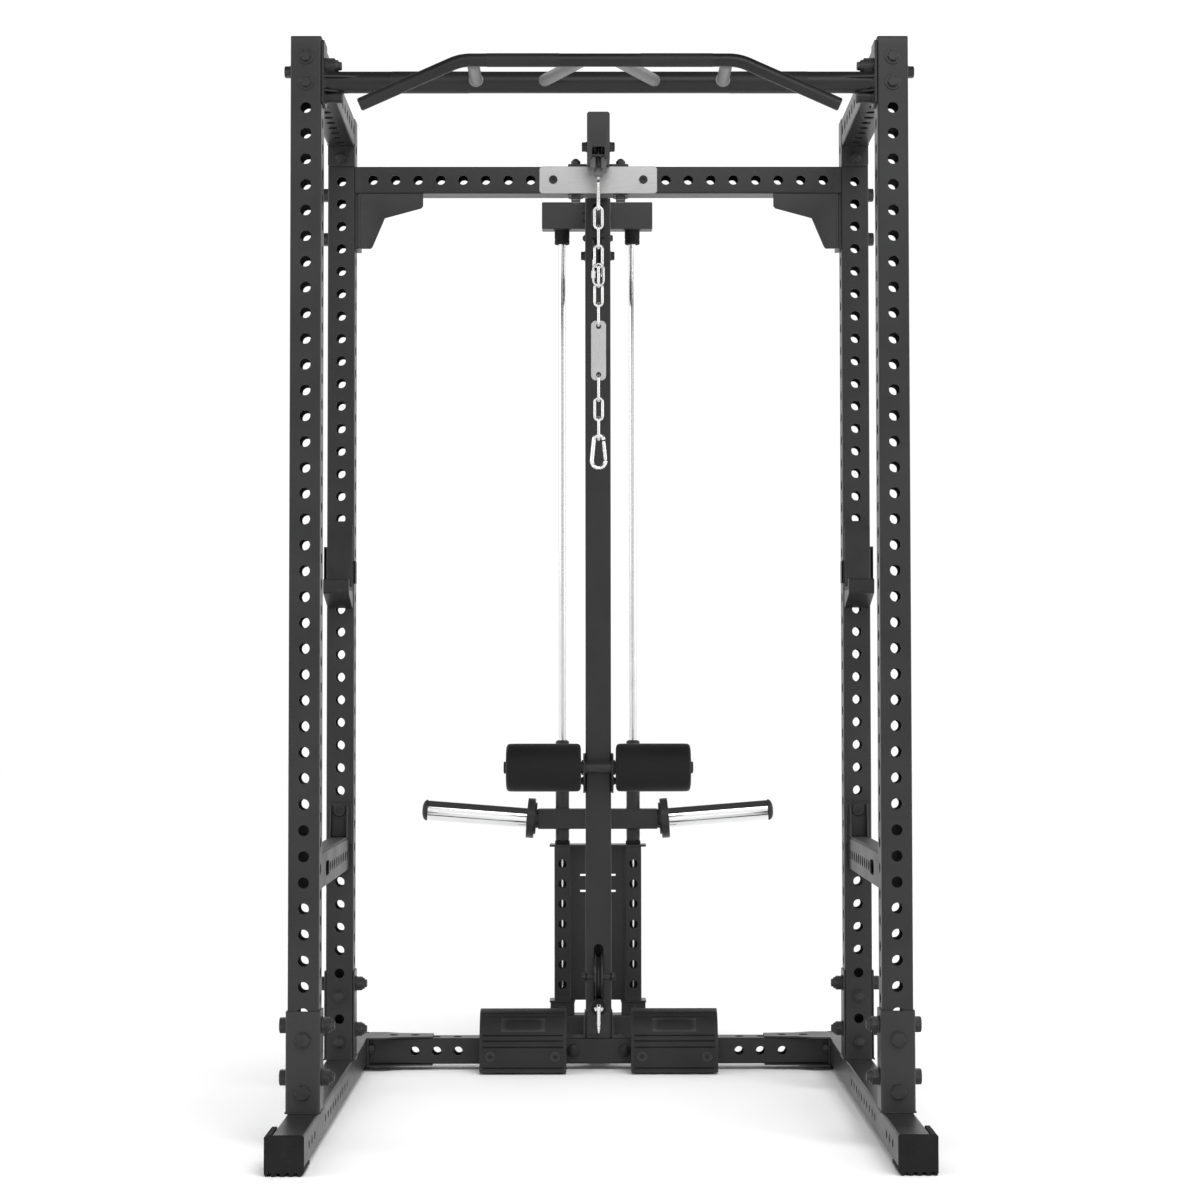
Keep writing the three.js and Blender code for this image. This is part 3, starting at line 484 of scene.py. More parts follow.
class Nodes:
    """Short names for building a material's node tree."""

    def __init__(self, name, **sockets):
        self.material = bpy.data.materials.new(name)
        self.material.use_nodes = True
        self.tree = self.material.node_tree
        self.shader = self.tree.nodes["Principled BSDF"]
        for key, value in sockets.items():
            self.shader.inputs[key.replace("_", " ")].default_value = value
        self.coords = self.tree.nodes.new("ShaderNodeTexCoord").outputs["Object"]

    def link(self, a, b):
        self.tree.links.new(a, b)

    def node(self, kind, inputs=None, **settings):
        made = self.tree.nodes.new(kind)
        for key, value in settings.items():
            setattr(made, key, value)
        for key, value in (inputs or {}).items():
            if isinstance(value, bpy.types.NodeSocket):
                self.link(value, made.inputs[key])
            else:
                made.inputs[key].default_value = value
        return made

    def scaled(self, scale):
        return self.node("ShaderNodeMapping", {"Vector": self.coords, "Scale": scale}).outputs[0]

    def noise(self, scale, detail=3.0, rough=0.5, vector=None, distortion=0.0):
        return self.node("ShaderNodeTexNoise", {
            "Vector": vector or self.coords, "Scale": scale, "Detail": detail, "Roughness": rough,
            "Distortion": distortion}).outputs["Fac"]

    def ramp(self, value, stops):
        made = self.node("ShaderNodeValToRGB", {"Fac": value})
        ramp = made.color_ramp
        while len(ramp.elements) < len(stops):
            ramp.elements.new(0.5)
        for element, (at, level) in zip(ramp.elements, stops):
            element.position = at
            element.color = level if isinstance(level, tuple) else (level, level, level, 1)
        return made.outputs[0]

    def mix(self, factor, a, b, mode="MIX"):
        return self.node("ShaderNodeMix", {0: factor, 6: a, 7: b}, data_type="RGBA",
                         blend_type=mode).outputs[2]

    def maths(self, operation, a, b):
        return self.node("ShaderNodeMath", {0: a, 1: b}, operation=operation).outputs[0]

    def span(self, value, low, high, from_low=0.0, from_high=1.0):
        return self.node("ShaderNodeMapRange", {0: value, 1: from_low, 2: from_high, 3: low,
                                                4: high}).outputs[0]

    def clouded(self, cloud, a, b):
        """From one colour to another over the usual range of a noise."""
        return self.mix(self.span(cloud, 0.0, 1.0, *NOISE), a, b)

    def bump(self, *layers):
        """layers are (height, strength, distance), the coarsest first."""
        normal = None
        for height, strength, distance in layers:
            inputs = {"Height": height, "Strength": strength, "Distance": distance}
            if normal:
                inputs["Normal"] = normal
            normal = self.node("ShaderNodeBump", inputs).outputs[0]
        self.link(normal, self.shader.inputs["Normal"])

    def edges(self, low=0.53, high=0.62):
        """1 along outer edges, 0 on flats: edge wear, and on the powder coat also painted highlight lines."""
        point = self.node("ShaderNodeNewGeometry").outputs["Pointiness"]
        return self.ramp(point, [(low, 0.0), (high, 1.0)])

    def set(self, colour=None, rough=None):
        if colour is not None:
            self.link(colour, self.shader.inputs["Base Color"])
        if rough is not None:
            self.link(rough, self.shader.inputs["Roughness"])
        return self.material


def grey(level, warm=0.0):
    return (level * (1 + warm), level, level * (1 - warm), 1)


def powder_coat(name, dark=0.014, light=0.022, texture=1.0):
    """Fine-textured charcoal powder coat, painted lighter along its edges: partly edge wear, partly painted
    highlight lines.
    """
    n = Nodes(name, Specular_IOR_Level=0.3)
    fine = n.noise(1500, 2.0, 0.6)
    grain = n.noise(620, 3.0, 0.55)
    cloud = n.noise(7, 3.0, 0.5)
    body = n.clouded(cloud, grey(dark, -0.01), grey(light, -0.01))
    speck = n.mix(n.ramp(fine, [(0.45, 0.0), (0.75, 0.35)]), body, grey(light * 1.9))
    # Edges painted lighter: partly edge wear, partly painted highlight lines along the edges.
    lighter_edges = n.mix(n.maths("MULTIPLY", n.edges(), n.span(grain, 0.1, 0.5, 0.35, 0.65)), speck,
                 grey(light * 2.6))
    n.bump((grain, 0.22 * texture, 0.0006), (fine, 0.3 * texture, 0.00025))
    rough = n.maths("ADD", n.span(grain, 0.3, 0.42, *NOISE), n.span(cloud, -0.04, 0.05, *NOISE))
    return n.set(lighter_edges, rough)


def black_steel(name="black_steel"):
    """Blackened fasteners: smoother than the coat, rubbed at the corners."""
    n = Nodes(name, Specular_IOR_Level=0.34)
    grain = n.noise(900, 3.0, 0.6)
    cloud = n.noise(60, 3.0, 0.6)
    body = n.clouded(cloud, grey(0.006), grey(0.013))
    lighter_edges = n.mix(n.maths("MULTIPLY", n.edges(0.52, 0.6), n.span(cloud, 0.2, 0.8)), body, grey(0.06, 0.02))
    n.bump((cloud, 0.12, 0.0008), (grain, 0.18, 0.0002))
    return n.set(lighter_edges, n.span(grain, 0.3, 0.5, *NOISE))


def rubber(name="moulded_rubber", dark=0.006, light=0.011):
    n = Nodes(name, Specular_IOR_Level=0.2)
    grain = n.noise(1100, 3.0, 0.7)
    cloud = n.noise(18, 4.0, 0.6)
    pits = n.node("ShaderNodeTexVoronoi", {"Vector": n.coords, "Scale": 700.0}).outputs["Distance"]
    body = n.clouded(cloud, grey(dark), grey(light))
    scuffs = n.ramp(n.noise(70, 5.0, 0.7, distortion=0.6), [(0.56, 0.0), (0.74, 0.4)])
    dusty = n.mix(scuffs, body, grey(0.03))
    n.bump((pits, 0.15, 0.0003), (grain, 0.3, 0.0002))
    return n.set(dusty, n.span(grain, 0.62, 0.8, *NOISE))


def moulded_plastic(name="moulded_plastic", dark=0.009, light=0.015, scale=900.0, gloss=0.28):
    """Spark-eroded texture of moulded parts, with rubbed edges."""
    n = Nodes(name, Specular_IOR_Level=gloss)
    cells = n.node("ShaderNodeTexVoronoi", {"Vector": n.coords, "Scale": scale},
                   feature="SMOOTH_F1").outputs["Distance"]
    cloud = n.noise(11, 3.0, 0.55)
    grain = n.noise(1600, 2.0, 0.6)
    body = n.clouded(cloud, grey(dark), grey(light))
    lighter_edges = n.mix(n.maths("MULTIPLY", n.edges(0.52, 0.6), n.span(cloud, 0.2, 0.6)), body, grey(0.09))
    n.bump((cells, 0.25, 0.0003), (grain, 0.15, 0.00015))
    return n.set(lighter_edges, n.span(grain, 0.42, 0.58, *NOISE))


def foam_skin(name="foam_skin"):
    """Skin of closed-cell foam: fine pores and soft dull patches."""
    n = Nodes(name, Specular_IOR_Level=0.22, Sheen_Weight=0.04, Sheen_Roughness=0.5)
    pores = n.node("ShaderNodeTexVoronoi", {"Vector": n.coords, "Scale": 820.0}).outputs["Distance"]
    grain = n.noise(420, 4.0, 0.65)
    cloud = n.noise(9, 4.0, 0.55)
    body = n.clouded(cloud, grey(0.005), grey(0.009))
    speck = n.mix(n.ramp(pores, [(0.08, 0.6), (0.22, 0.0)]), body, grey(0.003))
    n.bump((cloud, 0.25, 0.004), (grain, 0.22, 0.0005), (pores, 0.35, 0.0003))
    return n.set(speck, n.maths("ADD", n.span(grain, 0.52, 0.68, *NOISE),
                                n.span(cloud, -0.05, 0.06, *NOISE)))


def chrome(name="chrome_plate", level=0.86, rough=0.05, stretch=(1, 1, 1), lift=0.00002):
    """Bright plate with faint polishing lines and thumb-dulled patches."""
    n = Nodes(name, Metallic=1.0)
    lines = n.noise(420, 2.0, 0.6, n.scaled(stretch))
    cloud = n.noise(13, 4.0, 0.6)
    colour = n.clouded(cloud, grey(level * 0.95, 0.003), grey(level, -0.006))
    n.bump((lines, 0.02, lift))
    smear = n.ramp(cloud, [(0.4, rough), (0.72, rough * 1.8)])
    return n.set(colour, n.maths("ADD", smear, n.span(lines, -0.012, 0.02, *NOISE)))


def brushed(name, level=0.45, stretch=(30, 900, 900), rough=0.32):
    """Sheet brushed in one direction."""
    n = Nodes(name, Metallic=1.0, Anisotropic=0.5)
    lines = n.noise(1.0, 3.0, 0.65, n.scaled(stretch))
    cloud = n.noise(9, 3.0, 0.5)
    colour = n.mix(n.span(lines, 0.0, 1.0, 0.25, 0.75), grey(level * 0.86), grey(level * 1.1))
    toned = n.mix(n.span(cloud, 0.0, 0.25, *NOISE), colour, grey(level * 0.8))
    n.bump((lines, 0.12, 0.0002))
    return n.set(toned, n.span(lines, rough - 0.06, rough + 0.08, 0.25, 0.75))


def zinc(name="zinc_plate"):
    """Electroplated chain: bright, faintly milky, with drawn lines."""
    n = Nodes(name, Metallic=1.0)
    spangle = n.node("ShaderNodeTexVoronoi", {"Vector": n.coords, "Scale": 260.0}).outputs["Color"]
    grain = n.noise(1300, 3.0, 0.6)
    cloud = n.noise(40, 3.0, 0.6)
    tone = n.mix(0.06, n.clouded(cloud, grey(0.72, 0.008), grey(0.86)),
                 spangle, "MULTIPLY")
    n.bump((cloud, 0.06, 0.001), (grain, 0.12, 0.00015))
    return n.set(tone, n.span(grain, 0.16, 0.3, *NOISE))


def nylon(name, dark=0.012, light=0.02, rough=0.34):
    """Turned or moulded nylon."""
    n = Nodes(name, Specular_IOR_Level=0.45)
    grain = n.noise(1400, 2.0, 0.6)
    cloud = n.noise(25, 3.0, 0.6)
    body = n.clouded(cloud, grey(dark), grey(light))
    lighter_edges = n.mix(n.maths("MULTIPLY", n.edges(0.52, 0.6), n.span(cloud, 0.1, 0.5)), body, grey(0.07))
    n.bump((cloud, 0.08, 0.0006), (grain, 0.14, 0.00015))
    return n.set(lighter_edges, n.span(grain, rough - 0.06, rough + 0.08, *NOISE))


def floor_paper():
    n = Nodes("floor_paper", Specular_IOR_Level=0.15)
    grain = n.noise(60, 4.0, 0.6)
    n.bump((grain, 0.02, 0.001))
    return n.set(n.mix(grain, grey(0.93), grey(0.95)), n.span(grain, 0.75, 0.9))


MATS = {
    "powder": powder_coat("powder_coat"),
    "grip": powder_coat("powder_coat_grip", 0.1, 0.14, 2.2),
    "dark": powder_coat("powder_coat_dark", 0.007, 0.012),
    "knurl": powder_coat("powder_coat_textured", 0.008, 0.012, 3.0),
    "bolt": black_steel(),
    "rubber": rubber(),
    "plastic": moulded_plastic(),
    "liner": moulded_plastic("liner_plastic", 0.02, 0.03, 700.0),
    "foam": foam_skin(),
    "chrome": chrome(),
    "rods": chrome("chrome_rods", 0.82, 0.12, (1, 1, 0.02), 0.0),
    "sleeves": chrome("chrome_sleeves", 0.86, 0.07, (0.05, 4, 4)),
    "brushed": brushed("brushed_plate", 0.4),
    "roller": moulded_plastic("grey_nylon", 0.09, 0.13, 800.0),
    "foot": moulded_plastic("foot_plate_plastic", 0.012, 0.019, 800.0),
    "cup_liner": moulded_plastic("cup_liner_plastic", 0.003, 0.006, 700.0, 0.1),
    "tag": brushed("tag_plate", 0.5, (900, 900, 30), 0.28),
    "zinc": zinc(),
    "nylon": nylon("black_nylon"),
    "coat": nylon("cable_sheath", 0.008, 0.014, 0.28),
}


# ---------------------------------------------------------------- pieces
def piece(name, shape, body, slot, material, *nodes, flat=False, angle=32):
    """Makes an object of a shape, gives it to a body and hides the CAD nodes it stands for."""
    mesh = bpy.data.meshes.new(name)
    verts = [(x * MM, y * MM + FRONT_Y, z * MM) for x, y, z in shape.verts]
    mesh.from_pydata(verts, [], shape.faces)
    bm = bmesh.new()
    bm.from_mesh(mesh)
    bmesh.ops.remove_doubles(bm, verts=bm.verts, dist=2e-6)
    bmesh.ops.dissolve_degenerate(bm, edges=bm.edges, dist=1e-6)
    bmesh.ops.recalc_face_normals(bm, faces=bm.faces)
    bm.to_mesh(mesh)
    bm.free()
    mesh.materials.append(MATS[material])
    obj = bpy.data.objects.new(name, mesh)
    bpy.context.scene.collection.objects.link(obj)
    if not flat:
        mesh.polygons.foreach_set("use_smooth", [True] * len(mesh.polygons))
        mesh.set_sharp_from_angle(angle=math.radians(angle))
        soft = obj.modifiers.new("weighted", "WEIGHTED_NORMAL")
        soft.keep_sharp = True
    if body:
        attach(obj, body)
    if nodes:
        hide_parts(*nodes)
    return obj


def steps(first, last, pitch=PITCH):
    return [first + pitch * i for i in range(int(round((last - first) / pitch)) + 1)]


def painted(name, shape, *nodes):
    return piece(name, shape, "frame", "powder_coat", "powder", *nodes)


def bolted(name, shape):
    return piece(name, shape, "frame", "powder_coat", "bolt")


# ---------------------------------------------------------------- frame
POST_HOLES = {1: steps(FIRST_HOLE, 2114), 3: steps(FIRST_HOLE, 2114), 0: steps(139, 2089),
              2: steps(139, 2089)}


def build_uprights():
    for where, y in (("front", 0), ("rear", REAR_Y)):
        for label, side in SIDES:
            x = side * POST_X
            painted(f"upright_{where}_{label}_tube", perforated("z", BASE_TOP + 0.3, 2151, x, y + HALF,
                                                                POST_HOLES), f"upright_{where}_{label}")
            cap = joined(prism(rounded(60, 60, 4, x, y + HALF), "xy", 2151, POST_TOP, 0.9),
                         prism(rounded(52, 52, 3, x, y + HALF), "xy", 2130, 2151.2, 0.8))
            piece(f"post_cap_{where}_{label}", cap, "frame", "plastic", "plastic")


def build_base():
    side_holes = [(y, 8.5) for y in steps(-161, -61) + steps(138, 588)]
    top_holes = [(-150.0, 3.0), (-112.0, 3.0)]
    teeth = (603.0, 587.0, 570.6, 554.7)
    for label, side in SIDES:
        beam = perforated("y", -244.5, 1189.5, POST_X, BASE_Z + HALF,
                          {0: side_holes, 2: side_holes, 1: top_holes})
        painted(f"base_beam_{label}_tube", side_of(beam, side), f"base_beam_{label}")
        for where, end, way in (("front", -250.0, 1), ("rear", 1195.0, -1)):
            low = [(540.0, 7.0), (546.0, 0.0)]
            for x in reversed(teeth):
                low += [(x - 4.6, 0.0), (x - 2.2, 6.5), (x + 2.2, 6.5), (x + 4.6, 0.0)]
            low += [(609.5, 0.0), (613.0, 5.0)]
            wall_y = sorted((end, end + way * 4.8))
            front = prism(low + [(613.0, 71.0), (609.0, 75.0), (544.0, 75.0), (540.0, 71.0)], "xz", *wall_y,
                          edge=1.2)
            wrap = prism(low + [(613.0, 71.0), (609.5, 75.0), (600.4, 75.0), (600.4, 13.6), (540.0, 13.6)],
                         "xz", *sorted((end + way * 1.5, end + way * 100)), edge=1.2)
            rib = [block(602, 613.0, *sorted((end + way * a, end + way * (a + 5))), 8, 72, 0.8)
                   for a in (20, 38, 56, 74)]
            cap = joined(front, wrap, *rib)
            piece(f"foot_cap_{where}_{label}_rubber", side_of(cap, side), "frame", "rubber", "rubber",
                  f"foot_cap_{where}_{label}", flat=True)


def arc_points(cx, cy, r, a0, a1, n=4):
    return [(cx + r * math.cos(math.radians(a0 + (a1 - a0) * i / n)),
             cy + r * math.sin(math.radians(a0 + (a1 - a0) * i / n))) for i in range(n + 1)]


def build_brackets():
    o, c, r = 33.3, 30.3, 5.0
    for where, post_y, way in (("front", 0, -1), ("rear", REAR_Y, 1)):
        mid = post_y + HALF
        wrap = [(POST_X + o, mid - way * 30)]
        wrap += [(x, mid + way * y) for x, y in arc_points(POST_X + o - r, o - r, r, 0, 90)]
        wrap += [(x, mid + way * y) for x, y in arc_points(POST_X - o + r, o - r, r, 90, 180)]
        wrap += [(POST_X - o, mid - way * 30), (POST_X - c, mid - way * 30)]
        wrap += [(x, mid + way * y) for x, y in arc_points(POST_X - c + 2, c - 2, 2, 180, 90)]
        wrap += [(x, mid + way * y) for x, y in arc_points(POST_X + c - 2, c - 2, 2, 90, 0)]
        wrap += [(POST_X + c, mid - way * 30)]
        sleeve = prism(wrap, "xy", BASE_TOP + 0.2, 269, 0.7)
        bead = sweep(bent([(POST_X + o + 0.6, mid - way * 29, 75.2),
                           (POST_X + o + 0.6, mid + way * (o + 0.6), 75.2),
                           (POST_X - o - 0.6, mid + way * (o + 0.6), 75.2),
                           (POST_X - o - 0.6, mid - way * 29, 75.2)], 5), 1.7, 8)
        bolts = Shape()
        face = "-y" if way < 0 else "y"
        back = "y" if way < 0 else "-y"
        for z in (114, 214):
            bolts.join(bolt(face, (POST_X, mid + way * o, z), 26, 9.0, 16))
            bolts.join(lock_nut(back, (POST_X, mid - way * 30, z), 22, 16, 15))
        for z in (139, 239):
            bolts.join(bolt("x", (POST_X + o, mid, z), 29, 14.6, 17))
            bolts.join(lock_nut("-x", (POST_X - o, mid, z), 29, 25, 17))
        for label, side in SIDES:
            painted(f"base_bracket_{where}_{label}_sleeve", side_of(joined(sleeve, bead), side),
                    f"base_bracket_{where}_{label}")
            bolted(f"base_bolts_{where}_{label}", side_of(bolts, side))


def build_top_beams():
    z = 2122.0
    holes = steps(138, 688)
    for label, side in SIDES:
        tube = perforated("y", 64.9, 715.1, POST_X, z, {2: holes, 3: holes, 0: holes})
        ends, bolts = Shape(), Shape()
        for y0, way in ((60.3, 1), (719.7, -1)):
            outline = rounded(59.4, 106, 4, POST_X, 2100.3)
            ends.join(plate(outline, [circle(8, POST_X, 2064)], "xz", *sorted((y0, y0 + way * 4.8))))
            bolts.join(lock_nut("y" if way > 0 else "-y", (POST_X, y0 + way * 4.8, 2064), 21, 17, 14.5))
            for dz in (2064, 2114):
                outside = (POST_X, 0 if way > 0 else REAR_Y + TUBE, dz)
                bolts.join(bolt("-y" if way > 0 else "y", outside, 19, 9.5, 15.5))
            for x in (POST_X - 30, POST_X + 30):
                ends.join(sweep([(x, y0 + way * 5.4, 2093), (x, y0 + way * 5.4, 2151)], 1.3, 6))
        painted(f"top_side_beam_{label}_tube", side_of(joined(tube, ends), side), f"top_side_beam_{label}")
        bolted(f"top_beam_bolts_{label}", side_of(bolts, side))


def build_rear_crossbeam():
    bolts = build_crossbeam_tube()
    build_gussets()
    build_arm_clamp(bolts)
    build_nameplate()


def build_crossbeam_tube():
    """Makes the tube and returns the bolts at its ends."""
    holes = steps(-500, -150) + steps(150, 500)
    tube = perforated("x", -534.5, 534.5, REAR_Y + HALF, DECK_Z, {0: holes, 2: holes})
    ends, bolts = Shape(), Shape()
    for side in (-1, 1):
        x = sorted((side * (INNER_X - 5.3), side * (INNER_X - 0.3)))
        ends.join(plate(rounded(60, 60, 4, REAR_Y + HALF, DECK_Z), [], "yz", *x))
        for z in (1988, 1889):
            bolts.join(side_of(bolt("x", (OUTER_X, REAR_Y + HALF, z), 27, 14, 16.5), side))
    painted("rear_top_crossbeam_tube", joined(tube, ends), "rear_top_crossbeam")
    return bolts


def build_gussets():
    """Folded sheets in the upper rear corners: a front sheet, a fold and a flange on the upright."""
    x, z = POST_X - HALF - 0.3, 1986.7
    outer, low, sheet, bend = x - 5, z - 123, 5.0, 6.0
    front, back = REAR_Y + 0.3, REAR_Y + 59.7
    outline = [(outer - bend, z), (outer - bend, low), (outer - 30, low), (outer - 34, low + 4),
               (outer - 61, z - 55), (outer - 142, z - 33), (outer - 146, z - 28), (outer - 146, z)]
    fold = [(outer - bend + bend * math.sin(a), front + bend - bend * math.cos(a))
            for a in (math.pi / 2 * i / 8 for i in range(9))]
    fold += [(outer, back), (outer - sheet, back), (outer - sheet, front + bend),
             (outer - bend, front + sheet)]
    for label, side in SIDES:
        shell = joined(prism(outline, "xz", front, front + sheet, 0.8), prism(fold, "xy", low, z, 0.5),
                       block(outer + 0.1, x, front + bend, back, low, z, 0.6))
        painted(f"corner_gusset_{label}_sheet", side_of(shell, side), f"corner_gusset_{label}")


def build_arm_clamp(bolts):
    """Flanges that hold the arm on the crossbeam; their bolts join the crossbeam's."""
    clamp = Shape()
    for side in (-1, 1):
        flange = prism(rounded(42, 62, 4, 46.2, REAR_Y + HALF), "xy", 2047.2, 2052.5, 0.6)
        clamp.join(side_of(flange, side))
        for y in (REAR_Y + 15, REAR_Y + 45):
            at = (side * 50, y, 2052.5)
            bolts.join(washer(12, "z", at, 2))
            bolts.join(hexagon(18, "z", (at[0], y, 2054.5), 8, dome=4.5))
            bolts.join(washer(17, "-z", (at[0], y, 1987), 2.5))
            bolts.join(hexagon(18, "-z", (at[0], y, 1984.5), 9))
    painted("arm_clamp_flanges", clamp)
    bolted("crossbeam_bolts", bolts)


def build_nameplate():
    name = plate(rounded(261, 60, 7, 0, 2016.5), [circle(5.5, -100, DECK_Z), circle(5.5, 100, DECK_Z)], "xz",
                 REAR_Y - 3.3, REAR_Y - 0.3, 0.5)
    piece("nameplate_sheet", name, "frame", "brushed", "brushed", "nameplate")
    screws = joined(*[socket_head(9.5, "-y", (x, REAR_Y - 3.3, DECK_Z), 5.5) for x in (-100, 100)])
    bolted("nameplate_screws", screws)


def build_lower_crossbeam():
    z = BASE_Z + HALF
    holes = [s * x for x in (328, 378, 429) for s in (-1, 1)]
    tops = [s * x for x in (330, 380, 430, 480) for s in (-1, 1)]
    tube = perforated("x", -534, 534, CROSS_Y + HALF, z, {0: holes, 2: holes, 1: tops})
    plates, bolts = Shape(), Shape()
    y0, y1, end = CROSS_Y, CROSS_Y + TUBE, 539.7
    gusset = [(end, y0 - 24), (end, y1 + 24), (end - 40, y1 + 24), (end - 75, y1 + 6), (end - 152, y1),
              (end - 152, y0), (end - 75, y0 - 6), (end - 40, y0 - 24)]
    for side in (-1, 1):
        one = joined(plate(gusset, [circle(HOLE_R, 430, CROSS_Y + HALF),
                                    circle(HOLE_R, 480, CROSS_Y + HALF)], "xy", BASE_TOP, BASE_TOP + 4),
                     plate(gusset, [], "xy", BASE_Z - 3.6, BASE_Z),
                     plate(rounded(108, 63, 3, y0 + HALF, 46),
                           [circle(8, y0 - 12, 46), circle(8, y1 + 12, 46)], "yz", end - 5.5, end))
        plates.join(side_of(one, side))
        for y in (y0 - 12, y1 + 12):
            bolts.join(side_of(bolt("-x", (end - 5.5, y, 50), 19, 12, 11), side))
            bolts.join(side_of(dome_head(12, "x", (OUTER_X, y, 50), 6), side))
        bolts.join(dome_head(15, "-y", (side * 60, y0, z), 6))
        bolts.join(dome_head(15, "y", (side * 60, y1, z), 6))
    painted("lower_crossbeam_tube", joined(tube, plates), "lower_crossbeam")
    bolted("lower_crossbeam_bolts", bolts)


def build_pull_up_bar():
    z, bar_y, grip_y = 2069.0, 27.0, -150.0
    slope = math.tan(math.radians(24))
    tip, knee = 451.0, 262.0
    drop = (tip - knee) * slope
    line = bent([(-tip, grip_y, z - drop), (-knee, grip_y, z), (knee, grip_y, z), (tip, grip_y, z - drop)],
                90, 10)
    body = joined(rod(21, "x", (0, bar_y, z), 1069, 40, 0.3), sweep(line, 12.5, 24))
    bolts, grips, knurl = Shape(), Shape(), Shape()
    along = Vector((tip - knee, 0, -drop)).normalized()
    flange = plate(rounded(60, 124, 5, HALF, 2085), [circle(9, bar_y, 2047)], "yz", 534.7, 539.6)
    rib = prism([(534.8, 1), (534.8, 48), (500, bar_y + 8), (462, bar_y), (466, 8), (500, 3)], "xy", z + 5,
                z + 9, 0.5)
    low = prism([(534.8, 6), (534.8, 48), (500, bar_y + 5), (470, bar_y), (500, bar_y - 5)], "xy", z - 21,
                z - 17, 0.5)
    collar = ring_of([(20.5, 0), (24.5, 0), (20.8, 4.5)], "-x", (534.8, bar_y, z), 32)
    body.join(both_sides(joined(flange, rib, low, collar)))
    grips.join(both_sides(rod(12, "y", (240, (bar_y + grip_y) / 2, z), bar_y - grip_y - 12, 24, 0.3)))
    grips.join(both_sides(sweep([(34, grip_y + 4, z), (111, bar_y - 8, z)], 12, 24)))
    for facing, y in (("y", grip_y + 12), ("-y", bar_y - 20.5)):
        grips.join(both_sides(ring_of([(11.6, 0), (14.2, 1.4), (11.6, 3.5)], facing, (240, y, z), 24)))
    knurl.join(both_sides(pipe(12.95, 12.3, "x", (145, grip_y, z), 136, 32, 0.3)))
    knurl.join(both_sides(pipe(21.35, 20.6, "x", (330, bar_y, z), 150, 40, 0.3)))
    end = Vector((tip, grip_y, z - drop))
    cap = turned([(11.9, -2), (11.9, 0.4), (11, 1.6), (8.5, 2.2), (0, 2.3)], along, end, 24)
    knurl.join(both_sides(cap))
    bolts.join(both_sides(bolt("x", (OUTER_X, bar_y, 2089), 21, 14, 14)))
    bolts.join(both_sides(lock_nut("-x", (534.7, bar_y, 2101), 28, 32, 16)))
    bolts.join(both_sides(turned([(13, 0), (13, 3), (11.5, 3.4), (11.5, 31), (12.4, 31.4), (12.4, 34),
                                  (9, 35)], "-x", (534.7, bar_y, 2040), 24)))
    piece("pull_up_bar_tubes", body, "frame", "powder_coat", "dark", "pull_up_bar")
    piece("pull_up_grips", grips, "frame", "powder_coat", "grip")
    piece("pull_up_textured_sections", knurl, "frame", "powder_coat", "knurl")
    bolted("pull_up_bolts", bolts)


# ---------------------------------------------------------------- lat tower
def axle(y, z, half, r=4.5, across=16.0, head=8.0):
    """Bolt along X with a hexagon at each end."""
    wash = across * 0.6
    return joined(rod(r, "x", (0, y, z), 2 * half, 20, 0.3), bolt("x", (half, y, z), across, head, wash),
                  bolt("-x", (-half, y, z), across, head, wash))


def wheel(y, z, groove, rim):
    """Pulley with a round groove, dished sides and a bearing in its middle."""
    floor = groove - CABLE_R - 0.3
    half, web, bore = 9.0, 5.0, 5.0
    body = [(12, -half + 1), (16, -half + 1), (17, -web), (rim - 9, -web), (rim - 7, -half + 0.6),
            (rim - 0.8, -half), (rim, -half + 0.8), (rim, -half + 2.2)]
    for i in range(9):
        a = math.pi * (0.12 + 0.76 * i / 8)
        body.append((floor + 3.2 - 3.2 * math.sin(a), -3.6 * math.cos(a)))
    body += [(rim, half - 2.2), (rim, half - 0.8), (rim - 0.8, half), (rim - 7, half - 0.6),
             (rim - 9, web), (17, web), (16, half - 1), (12, half - 1)]
    wheel_part = ring_of(body, "x", (0, y, z), 64)
    bearing = ring_of([(bore, -half), (7.4, -half), (7.8, -half + 0.4), (10.8, -half + 0.4),
                       (11.9, -half + 0.2), (11.9, half - 0.2), (10.8, half - 0.4), (7.8, half - 0.4),
                       (7.4, half), (bore, half)], "x", (0, y, z), 40)
    return wheel_part, bearing


PULLEYS = {
    "front_top_pulley": (*FRONT_TOP, SMALL_R, SMALL_R + 5),
    "rear_top_pulley": (*REAR_TOP, SMALL_R, SMALL_R + 5),
    "column_pulley": (*COLUMN_TOP, SMALL_R, SMALL_R + 5),
    "row_rear_pulley": (*ROW_REAR, SMALL_R, SMALL_R + 5),
    "low_pulley": (*LOW, LOW_R, LOW_R + 5),
}


def build_pulleys():
    for name, (y, z, groove, rim) in PULLEYS.items():
        disc, bearing = wheel(y, z, groove, rim)
        piece(f"{name}_wheel", disc, name, "nylon", "nylon", name)
        piece(f"{name}_bearing", bearing, name, "zinc", "zinc")


